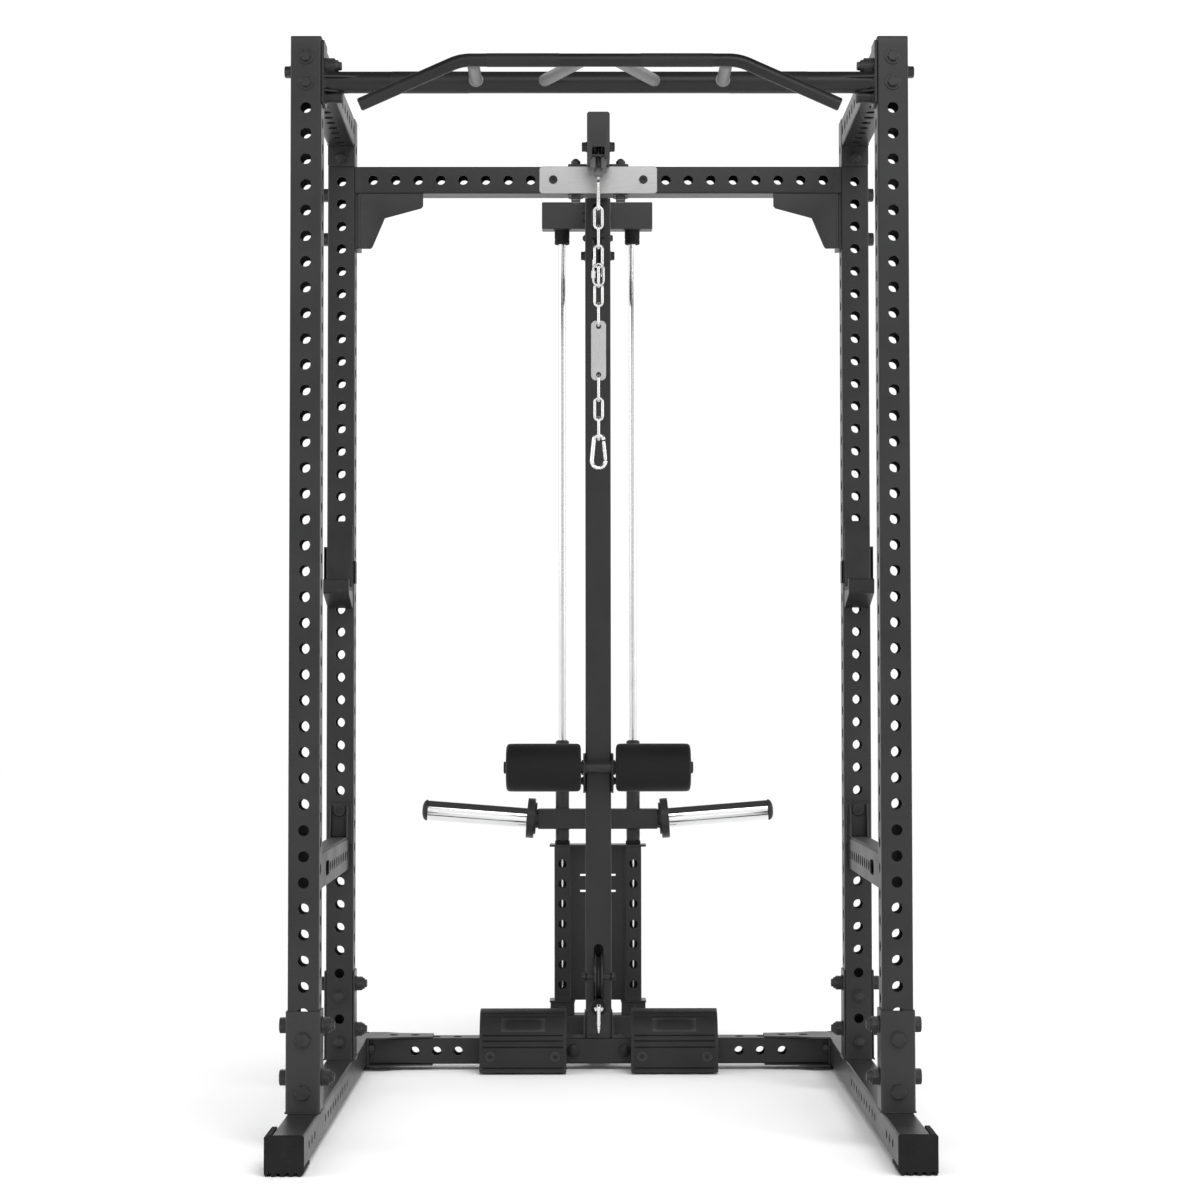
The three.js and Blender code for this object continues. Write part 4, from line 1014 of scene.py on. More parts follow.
def build_column():
    top, mid = ARM_Z - 0.3, CROSS_Y + HALF
    upper = (1948.0, 14.0, 76.0)
    tube = perforated("z", BASE_TOP + 0.3, top, 0, mid, {3: [(224.0, 11.0, 57.0), upper],
                                                         1: [(216.0, 11.0, 16.0), upper]})
    ear = prism([(30.2, BASE_TOP + 0.3), (36, BASE_TOP + 0.3), (36, 92), (32.4, 134), (30.2, 134)], "xz",
                CROSS_Y + 2, CROSS_Y + 58, 0.6)
    bead = sweep(bent([(30.6, CROSS_Y - 0.6, 79.6), (-30.6, CROSS_Y - 0.6, 79.6),
                       (-30.6, CROSS_Y + 60.6, 79.6), (30.6, CROSS_Y + 60.6, 79.6)], 4), 1.6, 8)
    painted("column_tube", joined(tube, both_sides(ear), bead), "column")
    bolts = joined(axle(*COLUMN_TOP, HALF, 4.5, 19, 10), axle(*LOW, HALF, 4.5, 17, 9),
                   bolt("x", (HALF, 1115, 1957), 13, 6, 8), lock_nut("-x", (-HALF, 1115, 1957), 13, 6, 8),
                   rod(3, "x", (0, 1115, 1957), 58, 12, 0.2))
    for y, z in (COLUMN_TOP, LOW):
        for side in (-1, 1):
            bolts.join(pipe(8.5, 4.8, "x", (side * 18.2, y, z), 17.2, 24, 0.4))
    bolted("column_bolts", bolts)


def build_arm():
    half, z0, z1 = 25.0, ARM_Z, ARM_Z + ARM_H
    front, rear = 619.0, STAND_Y + 22
    mid = (z0 + z1) / 2
    tube = perforated("y", 744, rear - 4, 0, mid, {3: [(1507.0, 13.5, 38.5)]}, half=half, half_v=ARM_H / 2,
                      wall=4, corner=4)
    nose = prism([(-25, z0), (-25, z1 - 3), (-22, z1), (22, z1), (25, z1 - 3), (25, z0), (13.6, z0),
                  (13.6, z0 + 4), (21, z0 + 4), (21, z1 - 4), (-21, z1 - 4), (-21, z0 + 4), (-13.6, z0 + 4),
                  (-13.6, z0)], "xz", front + 4, 744, 0.2)
    lid_outline = [(-25, z0 + 64), (-25, z1 - 4), (-21, z1), (21, z1), (25, z1 - 4), (25, z0), (13.6, z0),
                   (13.6, z0 + 20), (11, z0 + 23), (-11, z0 + 23), (-13.6, z0 + 20), (-13.6, z0), (-25, z0)]
    lid = prism(lid_outline, "xz", front, front + 4, 0.8)
    back = prism(rounded(50, 100, 4, 0, mid), "xz", rear - 4, rear, 0.8)
    box = prism([(25.2, 2054), (138, 2054), (140, 2056), (140, 2120), (138, 2122), (25.2, 2122)], "xz",
                STAND_Y - 22, STAND_Y + 22, 1.2)
    rim = pipe(22.5, 11, "z", (ROD_X, STAND_Y, 2053.6), 2.6, 32, 0.5)
    wings = both_sides(joined(box, rim))
    outline = [(1466, 2049), (1510, 2049), (1510, 1902), (1502, 1894), (1474, 1894), (1466, 1902)]
    cheeks = both_sides(prism(outline, "yz", 11.6, 17, 0.8))
    cheeks.join(block(-17, 17, 1467, 1470, 1975, 2047, 0.5))
    painted("top_arm_box", joined(tube, nose, lid, back, wings, cheeks), "top_arm")
    bolts = axle(*ROW_REAR, 17)
    for y, z in (FRONT_TOP, REAR_TOP):
        bolts.join(axle(y, z, half, 4.5, 19, 11.5))
        for side in (-1, 1):
            bolts.join(pipe(8.5, 4.8, "x", (side * 15.2, y, z), 11.4, 24, 0.4))
    bolted("top_arm_bolts", bolts)
    guides = both_sides(turned([(3.2, 0), (3.2, 3), (5.6, 3.4), (6, 4), (6, 27), (5.4, 27.8), (2.4, 28),
                                (2.4, 30)], "-z", (11.5, 640, 2054), 24))
    plate_over = block(-19, 19, 632, 642, 2052, 2056, 0.6)
    piece("cable_guide_rollers", guides, "frame", "zinc", "roller")
    painted("cable_guide_plate", plate_over)


def build_rods():
    for label, side in SIDES:
        shaft = turned([(8.8, 0), (10, 1.4), (10, 1944), (8.8, 1945.4)], "z", (ROD_X, STAND_Y, 108.3), 40)
        piece(f"guide_rod_{label}_shaft", side_of(shaft, side), "frame", "chrome", "rods",
              f"guide_rod_{label}")
        bush = ring_of([(10.6, 0), (17.5, 0), (19, 1.5), (19, 10), (18.3, 11), (18.3, 13), (19, 14), (19, 34),
                        (18, 36), (10.6, 36)], "z", (ROD_X, STAND_Y, 2017.7), 36)
        piece(f"rod_bush_{label}_buffer", side_of(bush, side), "frame", "rubber", "rubber",
              f"rod_bush_{label}")


def build_stand():
    y0, y1 = STAND_Y - 30, STAND_Y + 30
    body = Shape()
    holes = steps(149.5, 451.3, 50.3)
    leg = perforated("z", 110.2, 494, ROD_X, STAND_Y, {1: holes, 3: holes}, half=20, half_v=30)
    saddle = joined(prism(rounded(60, 60, 3, ROD_X, STAND_Y), "xy", BASE_TOP + 0.3, 106, 0.8),
                    prism(rounded(64, 66, 4, ROD_X, STAND_Y), "xy", 106, 110.2, 0.8))
    body.join(both_sides(joined(leg, saddle)))
    vents = [rounded(89, 5, 1.0, 0, z, 3) for z in (422.3, 382.2)]
    body.join(plate([(-68.8, 110), (68.8, 110), (68.8, 493), (-68.8, 493)], vents, "xz", y0 + 18, y0 + 22,
                    0.5))
    for x in (-66.5, 66.5):
        body.join(sweep([(x * 1.02, y0 + 17.4, 112), (x * 1.02, y0 + 17.4, 492)], 1.2, 6))
    body.join(plate(rounded(242, 68, 5, 0, STAND_Y), [circle(10.8, -ROD_X, STAND_Y),
                                                      circle(10.8, ROD_X, STAND_Y)], "xy", 494, 499, 0.8))
    painted("weight_stand_body", body, "weight_stand")
    rings = joined(*[ring_of([(10.8, 0), (17.5, 0), (18.6, 1.2), (18.6, 8), (17.5, 9.2), (10.8, 9.2)], "z",
                             (x, STAND_Y, 499.1), 36) for x in (-ROD_X, ROD_X)])
    piece("stand_buffers", rings, "frame", "rubber", "rubber")
    bolts = Shape()
    for x in (-ROD_X, ROD_X):
        for y in (y0, y1):
            bolts.join(dome_head(8, "-y" if y == y0 else "y", (x, y, 90), 4))
    bolted("stand_bolts", bolts)


def build_stand_base():
    z = BASE_Z + HALF
    cross = perforated("x", -246.5, 246.5, STAND_Y, z, {})
    link = perforated("y", CROSS_Y + TUBE + 6, STAND_Y - 30.2, 0, z, {0: [(1345.0, 8.5)], 2: [(1345.0, 8.5)]})
    tongue = plate(rounded(110, 58, 4, 0, z), [circle(6, -42, z), circle(6, 42, z)], "xz",
                   CROSS_Y + TUBE + 0.4, CROSS_Y + TUBE + 6, 0.5)
    painted("stand_base_tubes", joined(cross, link, tongue), "stand_base")
    pads, screws = Shape(), Shape()
    pad = joined(prism(rounded(52, 56, 4, 221, STAND_Y), "xy", 0, 13.7, 1.4),
                 prism(rounded(58, 59.6, 4, STAND_Y, z), "yz", 246.4, 250, 1.0))
    pads.join(both_sides(pad))
    screws.join(both_sides(bolt("y", (42, CROSS_Y + TUBE + 6, z), 13, 7, 10)))
    piece("stand_feet", pads, "frame", "rubber", "rubber")
    bolted("stand_link_bolts", screws)


def build_rollers():
    y, z = 1057.0, 705.0
    rear = CROSS_Y + TUBE + 0.5
    yoke = Shape()
    outline = [(y - 20, z - 26), (y - 14, z - 34), (y + 20, z - 60), (rear + 5, z - 60), (rear + 5, z + 32),
               (y + 6, z + 32), (y - 14, z + 24), (y - 20, z + 16)]
    yoke.join(both_sides(plate(outline, [circle(14.3, y, z)], "yz", 30.5, 35.5, 0.6)))
    yoke.join(block(-31, 31, rear, rear + 5, z - 60, z + 32, 0.6))
    painted("roller_yoke", yoke, "roller_bracket")
    pin = joined(bolt("-x", (-35.5, 1115, 672), 16, 9, 10), bolt("x", (35.5, 1115, 672), 16, 9, 10))
    bolted("roller_yoke_bolts", pin)
    tube = joined(pipe(14, 11.5, "x", (0, y, z), 434, 36, 0.4),
                  *[pipe(17.5, 14.1, "x", (s * 37.6, y, z), 3.6, 32, 0.5) for s in (-1, 1)])
    painted("roller_axle_tube", tube, "roller_axle")
    caps = joined(*[turned([(11.2, -10), (11.2, 0), (13.8, 0.2), (14, 1), (13.6, 3.2), (11, 4)],
                           "x" if s > 0 else "-x", (s * 217, y, z), 28) for s in (-1, 1)])
    piece("roller_axle_caps", caps, "frame", "plastic", "plastic")
    for label, side in SIDES:
        x0, x1 = 40.4, 215.0
        profile = [(14.6, 0), (22, -0.2), (44, 0.2), (49, 1.0), (52.4, 2.6), (54.6, 5.2), (55.6, 8.6)]
        profile += [(55.9 + 0.1 * math.sin(math.pi * i / 12),
                     8.6 + (x1 - x0 - 17.2) * i / 12) for i in range(1, 12)]
        profile += [(r, x1 - x0 - h) for r, h in reversed(profile[:7])]
        foam = side_of(ring_of(profile, "x", (x0, y, z), 96), side)
        pad = piece(f"foam_roller_{label}_foam", foam, f"roller_{label}", "foam", "foam",
                    f"foam_roller_{label}", angle=50)


def build_foot_plates():
    back = CROSS_Y - 0.3

    def curve(h):
        return 1003 + 62 * (1 - math.sqrt(max(0.0, 1 - (max(0.0, h - 38) / 104) ** 2)))

    def outline(depth):
        """Section of the plate: a quarter-round front with grooves cut across it."""
        pts = [(back, 4.0), (1012.0, 3.0), (1006.0, 4.5), (1003.4, 9.0)]
        grooves = (15.5, 63.0, 77.0, 90.0, 131.0)
        for i in range(73):
            h = 14.0 + 126.0 * i / 72
            near = min(abs(h - g) for g in grooves)
            cut = depth if near < 1.0 else 0.0
            pts.append((curve(h) + cut, h))
        pts += [(1074.0, 144.6), (back, 143.0)]
        return pts

    for label, side in SIDES:
        rings = []
        for x, depth, shrink in ((75, 0, 1.6), (76.6, 0, 0), (82, 0, 0), (83, 2.2, 0), (267, 2.2, 0),
                                 (268, 0, 0), (273.4, 0, 0), (275, 0, 1.6)):
            pts = turned_left(outline(depth))
            if shrink:
                pts = inset(pts, shrink * 0.6)
            rings.append([(x, u, v) for u, v in pts])
        shell = loft(rings)
        badge = []
        for x0 in range(9):
            x = 124 + 101 * x0 / 8
            ring = []
            for i in range(9):
                h = 98 + 28 * i / 8
                lift = 1.0 if 0 < i < 8 and 0 < x0 < 8 else 0.2
                ring.append((x, curve(h) - lift, h))
            ring += [(x, curve(126) + 6, 126), (x, curve(98) + 6, 98)]
            badge.append(ring)
        piece(f"foot_plate_{label}_panel", side_of(loft(badge), side), "frame", "plastic", "plastic",
              angle=40)
        piece(f"foot_plate_{label}_shell", side_of(shell, side), "frame", "plastic", "foot",
              f"foot_plate_{label}", angle=40)
        bolts = Shape()
        for x in (100, 250):
            bolts.join(ring_of([(7.6, 0), (11, 0), (11.6, 0.8), (11, 2.2), (7.6, 2.2)], "-y",
                               (x, 1004.2, 42), 28))
            bolts.join(socket_head(8.5, "-y", (x, 1004.4, 42), 5))
        bolted(f"foot_plate_bolts_{label}", side_of(bolts, side))


# ---------------------------------------------------------------- carriage
BAR_Z = 563.0
TILT = math.radians(4.5)


def on_sleeve(profile):
    """Turned piece on the tilted axis of the right-hand sleeve."""
    axis = Vector((math.cos(TILT), 0, math.sin(TILT)))
    return turned(profile, axis, (150, STAND_Y, BAR_Z), 48)


def build_carriage():
    body = prism(rounded(50, 50, 3, STAND_Y, BAR_Z), "yz", -149.6, 149.6, 0.6)
    for x in (-ROD_X, ROD_X):
        body.join(ring_of([(10.9, 509), (15.5, 509), (17, 510.2), (17, 756.8), (16.2, 758), (10.9, 758)], "z",
                          (x, STAND_Y, 0), 40))
        body.join(ring_of([(16.8, 0), (19.4, 0), (16.8, 3)], "z", (x, STAND_Y, 588), 32))
        body.join(ring_of([(16.8, 0), (19.4, 0), (16.8, 3)], "-z", (x, STAND_Y, 538), 32))
    lug = plate([(1514, 588), (1514, 628), (1520, 640), (1553, 640), (1559, 628), (1559, 588)],
                [circle(4.2, ROW_END_Y, 622), circle(4.2, STAND_Y, 622)], "yz", -5, 5, 0.6)
    discs = Shape()
    disc = on_sleeve([(24, -6), (24, 4.5), (39, 4.5), (40, 5.4), (40, 9), (48.6, 9), (50, 10.4), (50, 26.6),
                      (48.6, 28), (27, 28)])
    discs.join(both_sides(disc))
    piece("carriage_body", joined(body, lug, discs), "carriage", "powder_coat", "powder", "carriage_frame")
    collars = joined(*[ring_of([(10.9, 756), (13.6, 756), (14.2, 758), (13.6, 759.8), (10.9, 760.4)], "z",
                               (x, STAND_Y, 0), 32) for x in (-ROD_X, ROD_X)])
    piece("carriage_bushes", collars, "carriage", "plastic", "plastic")
    ends = Shape()
    for y in (ROW_END_Y, STAND_Y):
        ends.join(turned([(3, 0), (4.2, 1), (4.2, 14), (3, 16)], "-z", (0, y, 641), 20))
        ends.join(joined(rod(3.8, "x", (0, y, 622), 12, 16, 0.2), bolt("x", (5, y, 622), 7, 4, 5.5),
                         bolt("-x", (-5, y, 622), 7, 4, 5.5)))
    piece("cable_end_fittings", ends, "carriage", "zinc", "zinc")
    for label, side in SIDES:
        tube = on_sleeve([(20, 20), (24.2, 28.2), (25, 29), (25, 278), (24.2, 279), (20, 279)])
        piece(f"loading_sleeve_{label}_tube", side_of(tube, side), "carriage", "chrome", "sleeves",
              f"loading_sleeve_{label}")
        cap = on_sleeve([(22, 276), (22, 279.2), (25.4, 279.4), (26, 280.2), (26, 282.6), (25, 284.4),
                         (22.4, 287.4), (17.5, 290.2), (11, 291.8), (4, 292.4)])
        piece(f"sleeve_cap_{label}_plug", side_of(cap, side), "carriage", "plastic", "plastic",
              f"sleeve_cap_{label}")


# ---------------------------------------------------------------- cables and hooks
def path_arc(y, z, r, a0, a1, n=20):
    return [(0, y + r * math.cos(a), z + r * math.sin(a))
            for a in (math.radians(a0 + (a1 - a0) * i / n) for i in range(n + 1))]


def strand(name, top, low, y):
    """Straight stretch of cable between the frame and a body."""
    count = 60
    line = [(0, y, top + (low - top) * i / count) for i in range(count + 1)]
    obj = piece(name, sweep(line, CABLE_R, 12), None, "cable_coat", "coat")
    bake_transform(obj)
    return obj


def build_cables():
    top = FRONT_TOP[1]
    lat = path_arc(*FRONT_TOP, SMALL_R, 180, 90) + path_arc(*REAR_TOP, SMALL_R, 90, 0)
    piece("lat_cable_top", sweep(lat, CABLE_R, 12), "frame", "cable_coat", "coat", "lat_cable")
    strand("lat_cable_front", top, 2025.3, CABLE_Y)
    strand("lat_cable_rear", top, CARRIAGE_END_Z, STAND_Y)
    ball_y, ball_z, ball_r = ROW_BALL
    reach = ball_r + 0.3
    row = ([(0, ball_y + reach * math.cos(ROW_FALL), ball_z + reach * math.sin(ROW_FALL)),
            (0, ball_y + 36, ball_z + 36 * math.tan(ROW_FALL))]
           + path_arc(*LOW, LOW_R, 270 + math.degrees(ROW_FALL), 361)
           + path_arc(*COLUMN_TOP, SMALL_R, 181, 90) + path_arc(*ROW_REAR, SMALL_R, 90, 0))
    piece("row_cable_run", sweep(row, CABLE_R, 12), "frame", "cable_coat", "coat", "row_cable")
    strand("row_cable_rear", ROW_REAR[1], CARRIAGE_END_Z, ROW_END_Y)


def racetrack(top, length, width, wire, edge_on, side=8):
    """Centre line of a link."""
    r = width / 2 - wire
    half = length / 2 - wire - r
    mid = top - length / 2
    out = []
    for sign, a0 in ((1, 0), (-1, 180)):
        for i in range(side * 2 + 1):
            a = math.radians(a0 + 180 * i / (side * 2))
            u, z = r * math.cos(a), mid + sign * half + r * math.sin(a)
            out.append((0, CABLE_Y + u, z) if edge_on else (u, CABLE_Y, z))
    return out


def build_ball_stop():
    bell = [(3.4, -6.0), (8.6, -5.4), (9.6, -4.2), (9.8, 0.0), (9.2, 3.6), (7.8, 6.4), (5.4, 8.6), (4.6, 9.2),
            (4.4, 11.0), (2.7, 11.2)]
    piece("cable_ball_stop", turned(bell, "z", (0, CABLE_Y, BALL_Z), 36), "lat_end", "zinc", "roller",
          "cable_ball", angle=45)
    stem = turned([(2.4, 0), (3.1, 0.6), (3.1, 8), (5.2, 8.4), (5.2, 10.4)], "z", (0, CABLE_Y, BALL_Z - 11),
                  24)
    piece("cable_ball_stem", stem, "lat_end", "zinc", "zinc")


def build_chain():
    wire, bite = 3.0, 0.6
    links = Shape()
    bottom = 2002.7
    top = bottom
    for i, length in enumerate((68, 54, 54, 54, 54, 54, 54)):
        top = bottom + (4 * wire - bite if i else 0)
        edge_on = i % 2 == 0
        thick = wire if i else wire + 0.9
        links.join(sweep(racetrack(top, length, 23, thick, edge_on), thick, 14, closed=True))
        bottom = top - length
        if i == 4:
            quick = [(x, y - 5.8, z) for x, y, z in racetrack(bottom + 54, 52, 27, 2.3, False)]
            links.join(sweep(quick, 2.3, 12, closed=True))
            links.join(hexagon(7.6, "z", (-11.2, CABLE_Y - 5.8, bottom + 20), 17))
    height, margin, eye = 131, 7, 5.5
    tag_top = bottom + 2 * wire + margin
    tag_bottom = tag_top - height
    eyes = [circle(eye, 0, z) for z in (tag_top - margin - 0.3 - eye, tag_bottom + margin + eye)]
    tag = plate(rounded(32, height, 10, 0, (tag_top + tag_bottom) / 2), eyes, "xz", CABLE_Y - 1.5,
                CABLE_Y + 1.5, 0.5)
    bottom = tag_bottom + margin + 2 * wire - 0.3
    for i, length in enumerate((60, 54, 54)):
        top = bottom + (4 * wire - bite if i else 0)
        links.join(sweep(racetrack(top, length, 23, wire, i % 2 == 0), wire, 14, closed=True))
        bottom = top - length
    piece("lat_chain_links", links, "chain", "zinc", "zinc", "lat_chain", angle=60)
    piece("lat_chain_tag", tag, "chain", "zinc", "tag")


def build_carabiner():
    small, large, r = 1430.3, 1384.8, 4.2
    line = [(10.5 * math.cos(a), CABLE_Y,
             small + 10.5 * math.sin(a)) for a in (math.pi * i / 20 for i in range(21))]
    line += [(-10.5 - 4.5 * i / 6, CABLE_Y, small + (large - small) * i / 6) for i in range(1, 6)]
    line += [(15 * math.cos(a), CABLE_Y, large + 15 * math.sin(a))
             for a in (math.pi * (1 + i / 26) for i in range(27))]
    radii = [3.4] + [r] * (len(line) - 2) + [3.6]
    body = joined(sweep(line, radii, 16), rod(1.7, "y", (14.9, CABLE_Y, large + 1.5), 9.4, 14, 0.3))
    piece("lat_carabiner_body", body, "chain", "chrome", "chrome", "lat_carabiner", angle=60)
    gate = sweep([(14.9, CABLE_Y, large + 1.8), (14.5, CABLE_Y, large + 6), (11.4, CABLE_Y, small - 8),
                  (11.0, CABLE_Y, small - 3)], [2.9, 3.5, 3.5, 2.8], 16)
    collar = ring_of([(3.3, -1.6), (4.0, -1.2), (4.0, 1.2), (3.3, 1.6)], (-4.1, 0, 40.5),
                     (13.0, CABLE_Y, (small + large) / 2 - 1), 20)
    piece("lat_gate_bar", joined(gate, collar), "lat_gate", "chrome", "chrome", "lat_gate", angle=60)


def build_row_ball():
    y, z, r = ROW_BALL
    fall = Vector((0, math.cos(ROW_FALL), math.sin(ROW_FALL)))
    ball = []
    for i in range(25):
        a = math.radians(-86 + 172 * i / 24)
        ball.append((r * math.cos(a) * (1.0 if abs(a) > 0.06 else 1.008), r * math.sin(a)))
    stop = joined(turned(ball, "z", (0, y, z), 48), turned([(6, 0), (5.6, 3), (4.2, 4)], fall,
                                                           (0, y + (r - 1.5) * fall.y,
                                                            z + (r - 1.5) * fall.z), 20))
    piece("row_ball_stop", stop, "frame", "rubber", "rubber", "row_ball", angle=45)


def build_row_shackle():
    y, z, r = ROW_BALL
    pin_y = y - ROW_PIN
    shackle = Shape()
    cheek = prism([(pin_y - 5, z - 5), (pin_y - 5, z + 3), (pin_y - 2, z + 4.6), (y - r + 4, z + 5),
                   (y - r + 4, z - 6), (pin_y - 2, z - 6)], "yz", 5.2, 8.5, 0.5)
    shackle.join(both_sides(cheek))
    shackle.join(both_sides(dome_head(3.8, "x", (8.5, pin_y, z), 2)))
    shackle.join(prism([(-6.5, z - 6), (6.5, z - 6), (6.5, z + 4), (-6.5, z + 4)], "xz", y - r - 0.5,
                       y - r + 3, 0.5))
    shackle.join(rod(2.5, "x", (0, pin_y, z), 17, 16, 0.2))
    piece("row_shackle", shackle, "frame", "zinc", "zinc")


def build_row_hook():
    pin_y = ROW_BALL[0] - ROW_PIN
    small, large, wire = 151.4, 114.4, 4.2
    line, radii = [], []
    for i in range(21):
        a = math.pi * i / 20
        line.append((0, pin_y + 8 * math.cos(a), small + 8 * math.sin(a)))
        radii.append(wire)
    for i in range(1, 6):
        line.append((0, pin_y - 8 - 7 * i / 6, small + (large - small) * i / 6))
        radii.append(wire)
    for i in range(27):
        a = math.pi * (1 + i / 26)
        line.append((0, pin_y + 15 * math.cos(a), large + 15 * math.sin(a)))
        radii.append(wire)
    for i, rad in ((0.4, 3.8), (0.7, 3.3), (3, 3.3), (5.2, 3.3), (5.6, 3.8)):
        line.append((0, pin_y + 15 - 7 * i / 6, large + (small - large) * i / 6))
        radii.append(rad)
    hinge = rod(1.7, "x", (0, pin_y + 14.8, large + 3), 9.6, 14, 0.3)
    piece("row_hook_body", joined(sweep(line, radii, 16, closed=True), hinge), "row_hook", "chrome", "chrome",
          "row_hook", angle=60)


# ---------------------------------------------------------------- bar holders and safeties
def build_jcups():
    face, front, floor = REAR_Y - 0.3, 620.0, 1104.0
    x0, x1 = POST_X - 28, POST_X + 28
    cup = [(face, 1070), (face, 1236), (face - 2, 1240), (face - 6, 1240), (face - 6, floor + 3),
           (face - 9, floor), (front + 10, floor), (front + 8, floor + 2), (front + 8, 1124),
           (front + 6, 1126), (front + 2, 1126), (front, 1124), (front, 1098), (front + 2, 1094),
           (face - 6, 1066), (face - 2, 1066)]
    steel = prism(cup, "yz", x0, x1, 1.2)
    wing = joined(prism([(x1 - 1, floor), (606, floor), (606, 1195), (OUTER_X, 1201), (x1 - 1, 1201)], "xz",
                        face - 6, face, 0.8), plate([(face - 6, floor), (face + 30, floor),
                                                     (face + 36, floor + 6), (face + 36, 1195),
                                                     (face + 30, 1201), (face - 6, 1201)],
                                                    [circle(HOLE_R, REAR_Y + HALF - 12, 1139)], "yz", 600.6,
                                                    606, 0.7))
    tab = joined(block(536, x0 + 1, face - 6, face, 1120, 1170, 0.8),
                 prism([(face - 6, 1120), (face + 22, 1120), (face + 26, 1125), (face + 26, 1165),
                        (face + 22, 1170), (face - 6, 1170)], "yz", 536, 539.4, 0.8))
    pin = turned([(6.5, 0), (9, 2.5), (9, 50), (7.5, 51)], "-y", (POST_X, face + 45, 1164), 28)
    screw = dome_head(4.5, "-y", (POST_X - 8, front - 0.1, 1101), 1.5)
    liner = [(x0, floor + 0.3), (x1, floor + 0.3), (x1, 1246), (x1 - 3, 1253), (x1 - 9, 1257), (x0 + 9, 1257),
             (x0 + 3, 1253), (x0, 1246)]
    back = face - 6.3
    pad = prism(liner, "xz", back - 10, back, 2.2)
    seat = prism([(back - 9, floor + 0.3), (back - 9, floor + 12), (back - 13, floor + 8),
                  (front + 18, floor + 7.3), (front + 15.3, floor + 9), (front + 15.3, 1124.5),
                  (front + 13.5, 1126.6), (front + 8.6, 1126.6), (front + 8.3, floor + 0.3)], "yz", x0, x1,
                 1.0)
    shroud = prism([(front - 1.4, 1094.6), (front + 8, 1094.6), (front + 8, 1096), (front - 0.2, 1097)], "yz",
                   x0 + 0.4, x1 - 0.4, 0.3)
    for label, side in SIDES:
        body = f"jcup_{label}"
        piece(f"jcup_{label}_steel", side_of(joined(steel, wing, tab, shroud), side), body, "powder_coat",
              "dark", f"jcup_{label}")
        piece(f"jcup_{label}_pin", side_of(joined(pin, screw), side), body, "powder_coat", "bolt")
        piece(f"jcup_{label}_liner", side_of(joined(pad, seat), side), body, "plastic", "cup_liner",
              f"jcup_pad_{label}")


def build_spotters():
    y0, y1 = TUBE + 0.8, REAR_Y - 0.8
    z0, z1 = 491.0, 560.0
    mid = (z0 + z1) / 2
    cuts = [(261.5, 15.0, 20.5)] + [(y, 11.0) for y in steps(320, 680, 40)]
    beam = perforated("y", y0 + 6, y1 - 6, POST_X, mid, {0: cuts, 2: cuts}, half=20, half_v=(z1 - z0) / 2)
    front = plate([(546, 500), (550, 496), (590, 496), (594, 500), (594, 624), (588, 630), (552, 630),
                   (546, 624)], [], "xz", y0, y0 + 6, 0.8)
    ears = Shape()
    for x in (546.2, 590.8):
        ears.join(prism([(y0 + 5, 556), (y0 + 26, 560), (y0 + 12, 622), (y0 + 5, 628)], "yz", x, x + 3, 0.6))
    rear = plate([(543, 548), (597, 548), (597, 634), (593, 638), (547, 638), (543, 634)], [], "xz", y1 - 6,
                 y1, 0.8)
    drop = block(550, 590, y1 - 6, y1, z0, 549, 0.8)
    channel = Shape()
    for x in (550.0, 587.0):
        channel.join(prism([(y1 - 6.5, z1 + 2), (y1 - 34, z1 + 2), (y1 - 20, 632), (y1 - 6.5, 636)], "yz",
                           x, x + 3, 0.6))
    bead = joined(*[sweep([(x, y1 - 6.6, z0 + 3), (x, y1 - 6.6, z1 - 3)], 1.5, 6) for x in (550.5, 589.5)],
                  *[sweep([(x, y0 + 6.6, z0 + 7), (x, y0 + 6.6, z1 - 3)], 1.5, 6) for x in (550.5, 589.5)])
    strip = plate(rounded(38, y1 - y0 - 46, 3, POST_X, (y0 + y1) / 2), [], "xy", z1 + 0.1, z1 + 3.4, 0.8)
    ridges = joined(*[sweep([(x, y0 + 26, z1 + 3.3), (x, y1 - 38, z1 + 3.3)], 0.9, 6) for x in (553.5,
                                                                                                586.5)])
    inner = prism([(553.4, z1 + 4), (586.6, z1 + 4), (586.6, 628), (583, 633), (557, 633), (553.4, 628)],
                  "xz", y1 - 10, y1 - 6.2, 0.8)
    head = turned([(14, 0), (14, 2.5), (12.5, 3.6), (6, 4)], "-y", (POST_X, y1 - 9.8, 622), 32)
    for label, side in SIDES:
        body = f"spotter_{label}"
        piece(f"spotter_{label}_steel", side_of(joined(beam, front, ears, rear, drop, channel, bead), side),
              body, "powder_coat", "powder", f"spotter_{label}")
        piece(f"spotter_{label}_liner", side_of(joined(strip, ridges), side), body, "plastic", "liner")
        piece(f"spotter_{label}_pad", side_of(inner, side), body, "plastic", "cup_liner")
        piece(f"spotter_{label}_bolt", side_of(head, side), body, "powder_coat", "bolt")


for build in (
    build_uprights, build_base, build_brackets, build_top_beams, build_rear_crossbeam,
    build_lower_crossbeam, build_pull_up_bar, build_pulleys, build_column, build_arm, build_rods,
    build_stand, build_stand_base, build_rollers, build_foot_plates, build_carriage, build_cables,
    build_ball_stop, build_chain, build_carabiner, build_row_ball, build_row_shackle, build_row_hook,
    build_jcups, build_spotters,
):
    build()


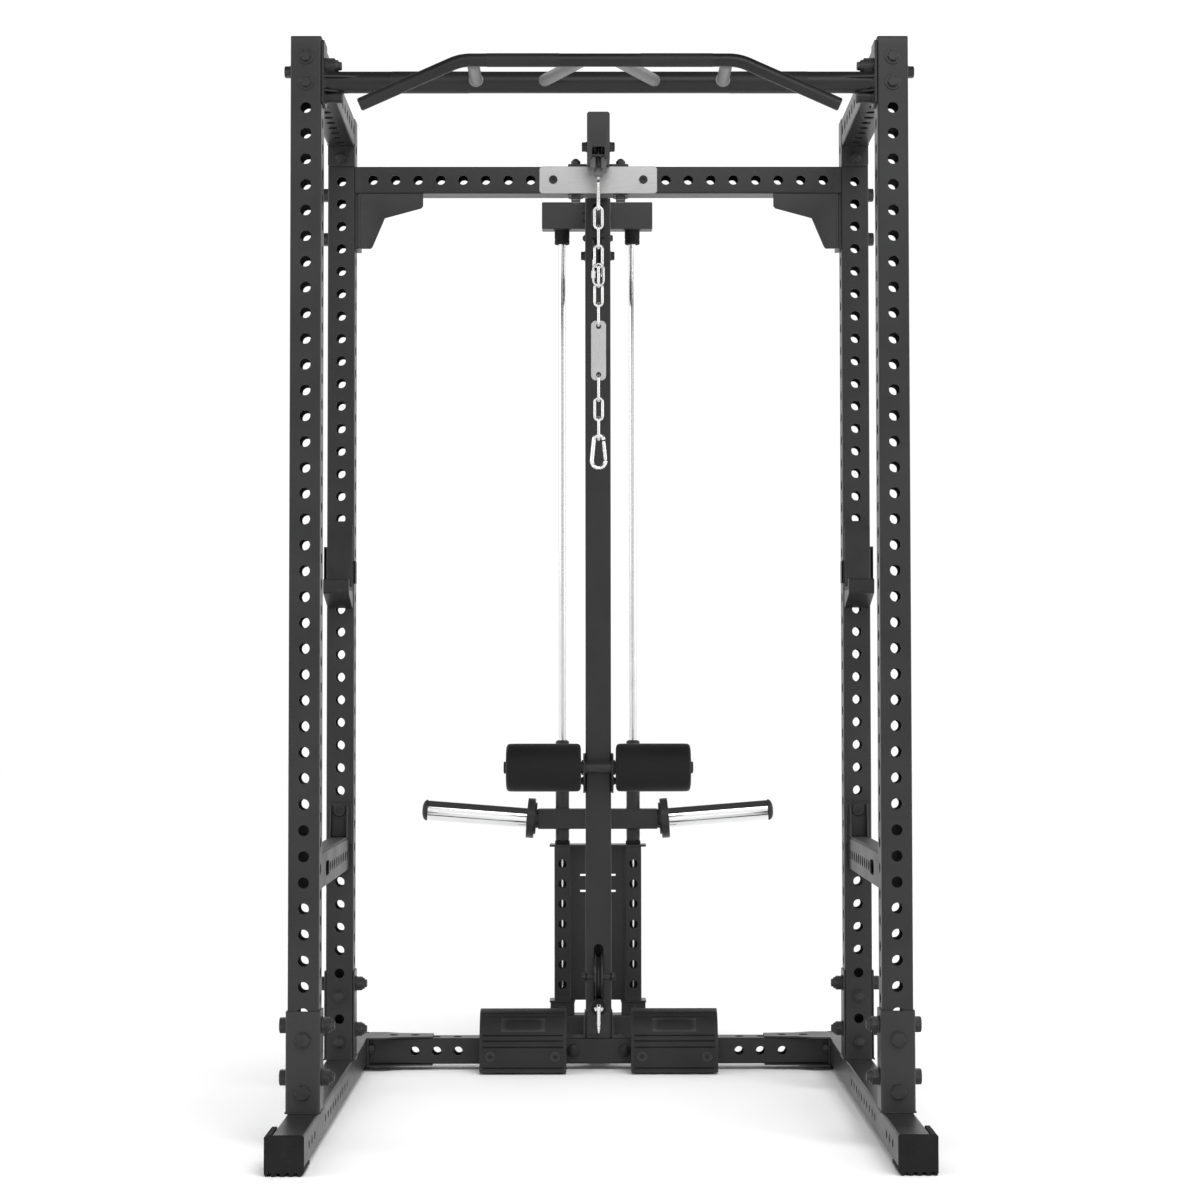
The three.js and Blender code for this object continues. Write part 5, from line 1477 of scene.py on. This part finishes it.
# ---------------------------------------------------------------- stage
SKY_WALL, SKY_TOP = 1.05, 0.05  # white walls under a dark ceiling
SUNS = (  # wide soft lights: name, tilt from straight down, turn about Z, strength, spread
    ("key", 34, 28, 1.5, 36),
    ("fill", 28, -60, 0.62, 50),
    ("back", 30, 165, 0.76, 60),
)
LIGHTS = (
    ("front_softbox", (0.8, -4.6, 4.4), (0, 0, 1.6), 2.4, 60),
    ("left_softbox", (-5.0, -1.5, 3.0), (0, 0, 1.0), 3.0, 40),
    ("right_softbox", (5.0, -0.5, 2.6), (0, 0, 1.0), 3.0, 40),
)


def build_stage():
    mesh = bpy.data.meshes.new("floor")
    mesh.from_pydata([(-30, -30, 0), (30, -30, 0), (30, 30, 0), (-30, 30, 0)], [], [(0, 1, 2, 3)])
    mesh.materials.append(floor_paper())
    floor = bpy.data.objects.new("floor", mesh)
    bpy.context.scene.collection.objects.link(floor)
    world = bpy.data.worlds.new("studio")
    world.use_nodes = True
    tree = world.node_tree
    toward = tree.nodes.new("ShaderNodeTexCoord").outputs["Generated"]
    parts = tree.nodes.new("ShaderNodeSeparateXYZ")
    tree.links.new(toward, parts.inputs[0])
    ceiling = tree.nodes.new("ShaderNodeMapRange")
    ceiling.interpolation_type = "SMOOTHSTEP"
    for key, value in enumerate((0.34, 0.66, SKY_WALL, SKY_TOP), 1):
        ceiling.inputs[key].default_value = value
    tree.links.new(parts.outputs["Z"], ceiling.inputs[0])
    tree.links.new(ceiling.outputs[0], tree.nodes["Background"].inputs["Strength"])
    tree.nodes["Background"].inputs["Color"].default_value = (1, 1, 1, 1)
    bpy.context.scene.world = world
    for name, tilt, turn, strength, spread in SUNS:
        lamp = bpy.data.lights.new(name, "SUN")
        lamp.energy, lamp.angle = strength, math.radians(spread)
        obj = bpy.data.objects.new(name, lamp)
        obj.rotation_euler = (math.radians(tilt), 0, math.radians(turn))
        obj.visible_glossy = False
        bpy.context.scene.collection.objects.link(obj)
    for name, at, aim, size, power in LIGHTS:
        lamp = bpy.data.lights.new(name, "AREA")
        lamp.shape, lamp.size, lamp.energy = "SQUARE", size, power
        obj = bpy.data.objects.new(name, lamp)
        obj.location = at
        obj.rotation_euler = (Vector(aim) - Vector(at)).to_track_quat("-Z", "Y").to_euler()
        bpy.context.scene.collection.objects.link(obj)


def build_camera():
    data = bpy.data.cameras.new("camera")
    data.lens, data.sensor_width = 77.3, 36.0
    data.clip_end = 100
    camera = bpy.data.objects.new("camera", data)
    camera.location = (-0.021, -4.963 + FRONT_Y, 0.873)
    pitch, yaw, roll = math.radians(2.121), math.radians(-0.24), math.radians(-0.065)
    camera.rotation_euler = (Matrix.Rotation(yaw, 3, "Z") @ Matrix.Rotation(math.pi / 2 + pitch, 3, "X")
                             @ Matrix.Rotation(roll, 3, "Z")).to_euler()
    bpy.context.scene.collection.objects.link(camera)
    bpy.context.scene.camera = camera


build_stage()
build_camera()
bpy.context.scene.view_settings.view_transform = "Standard"
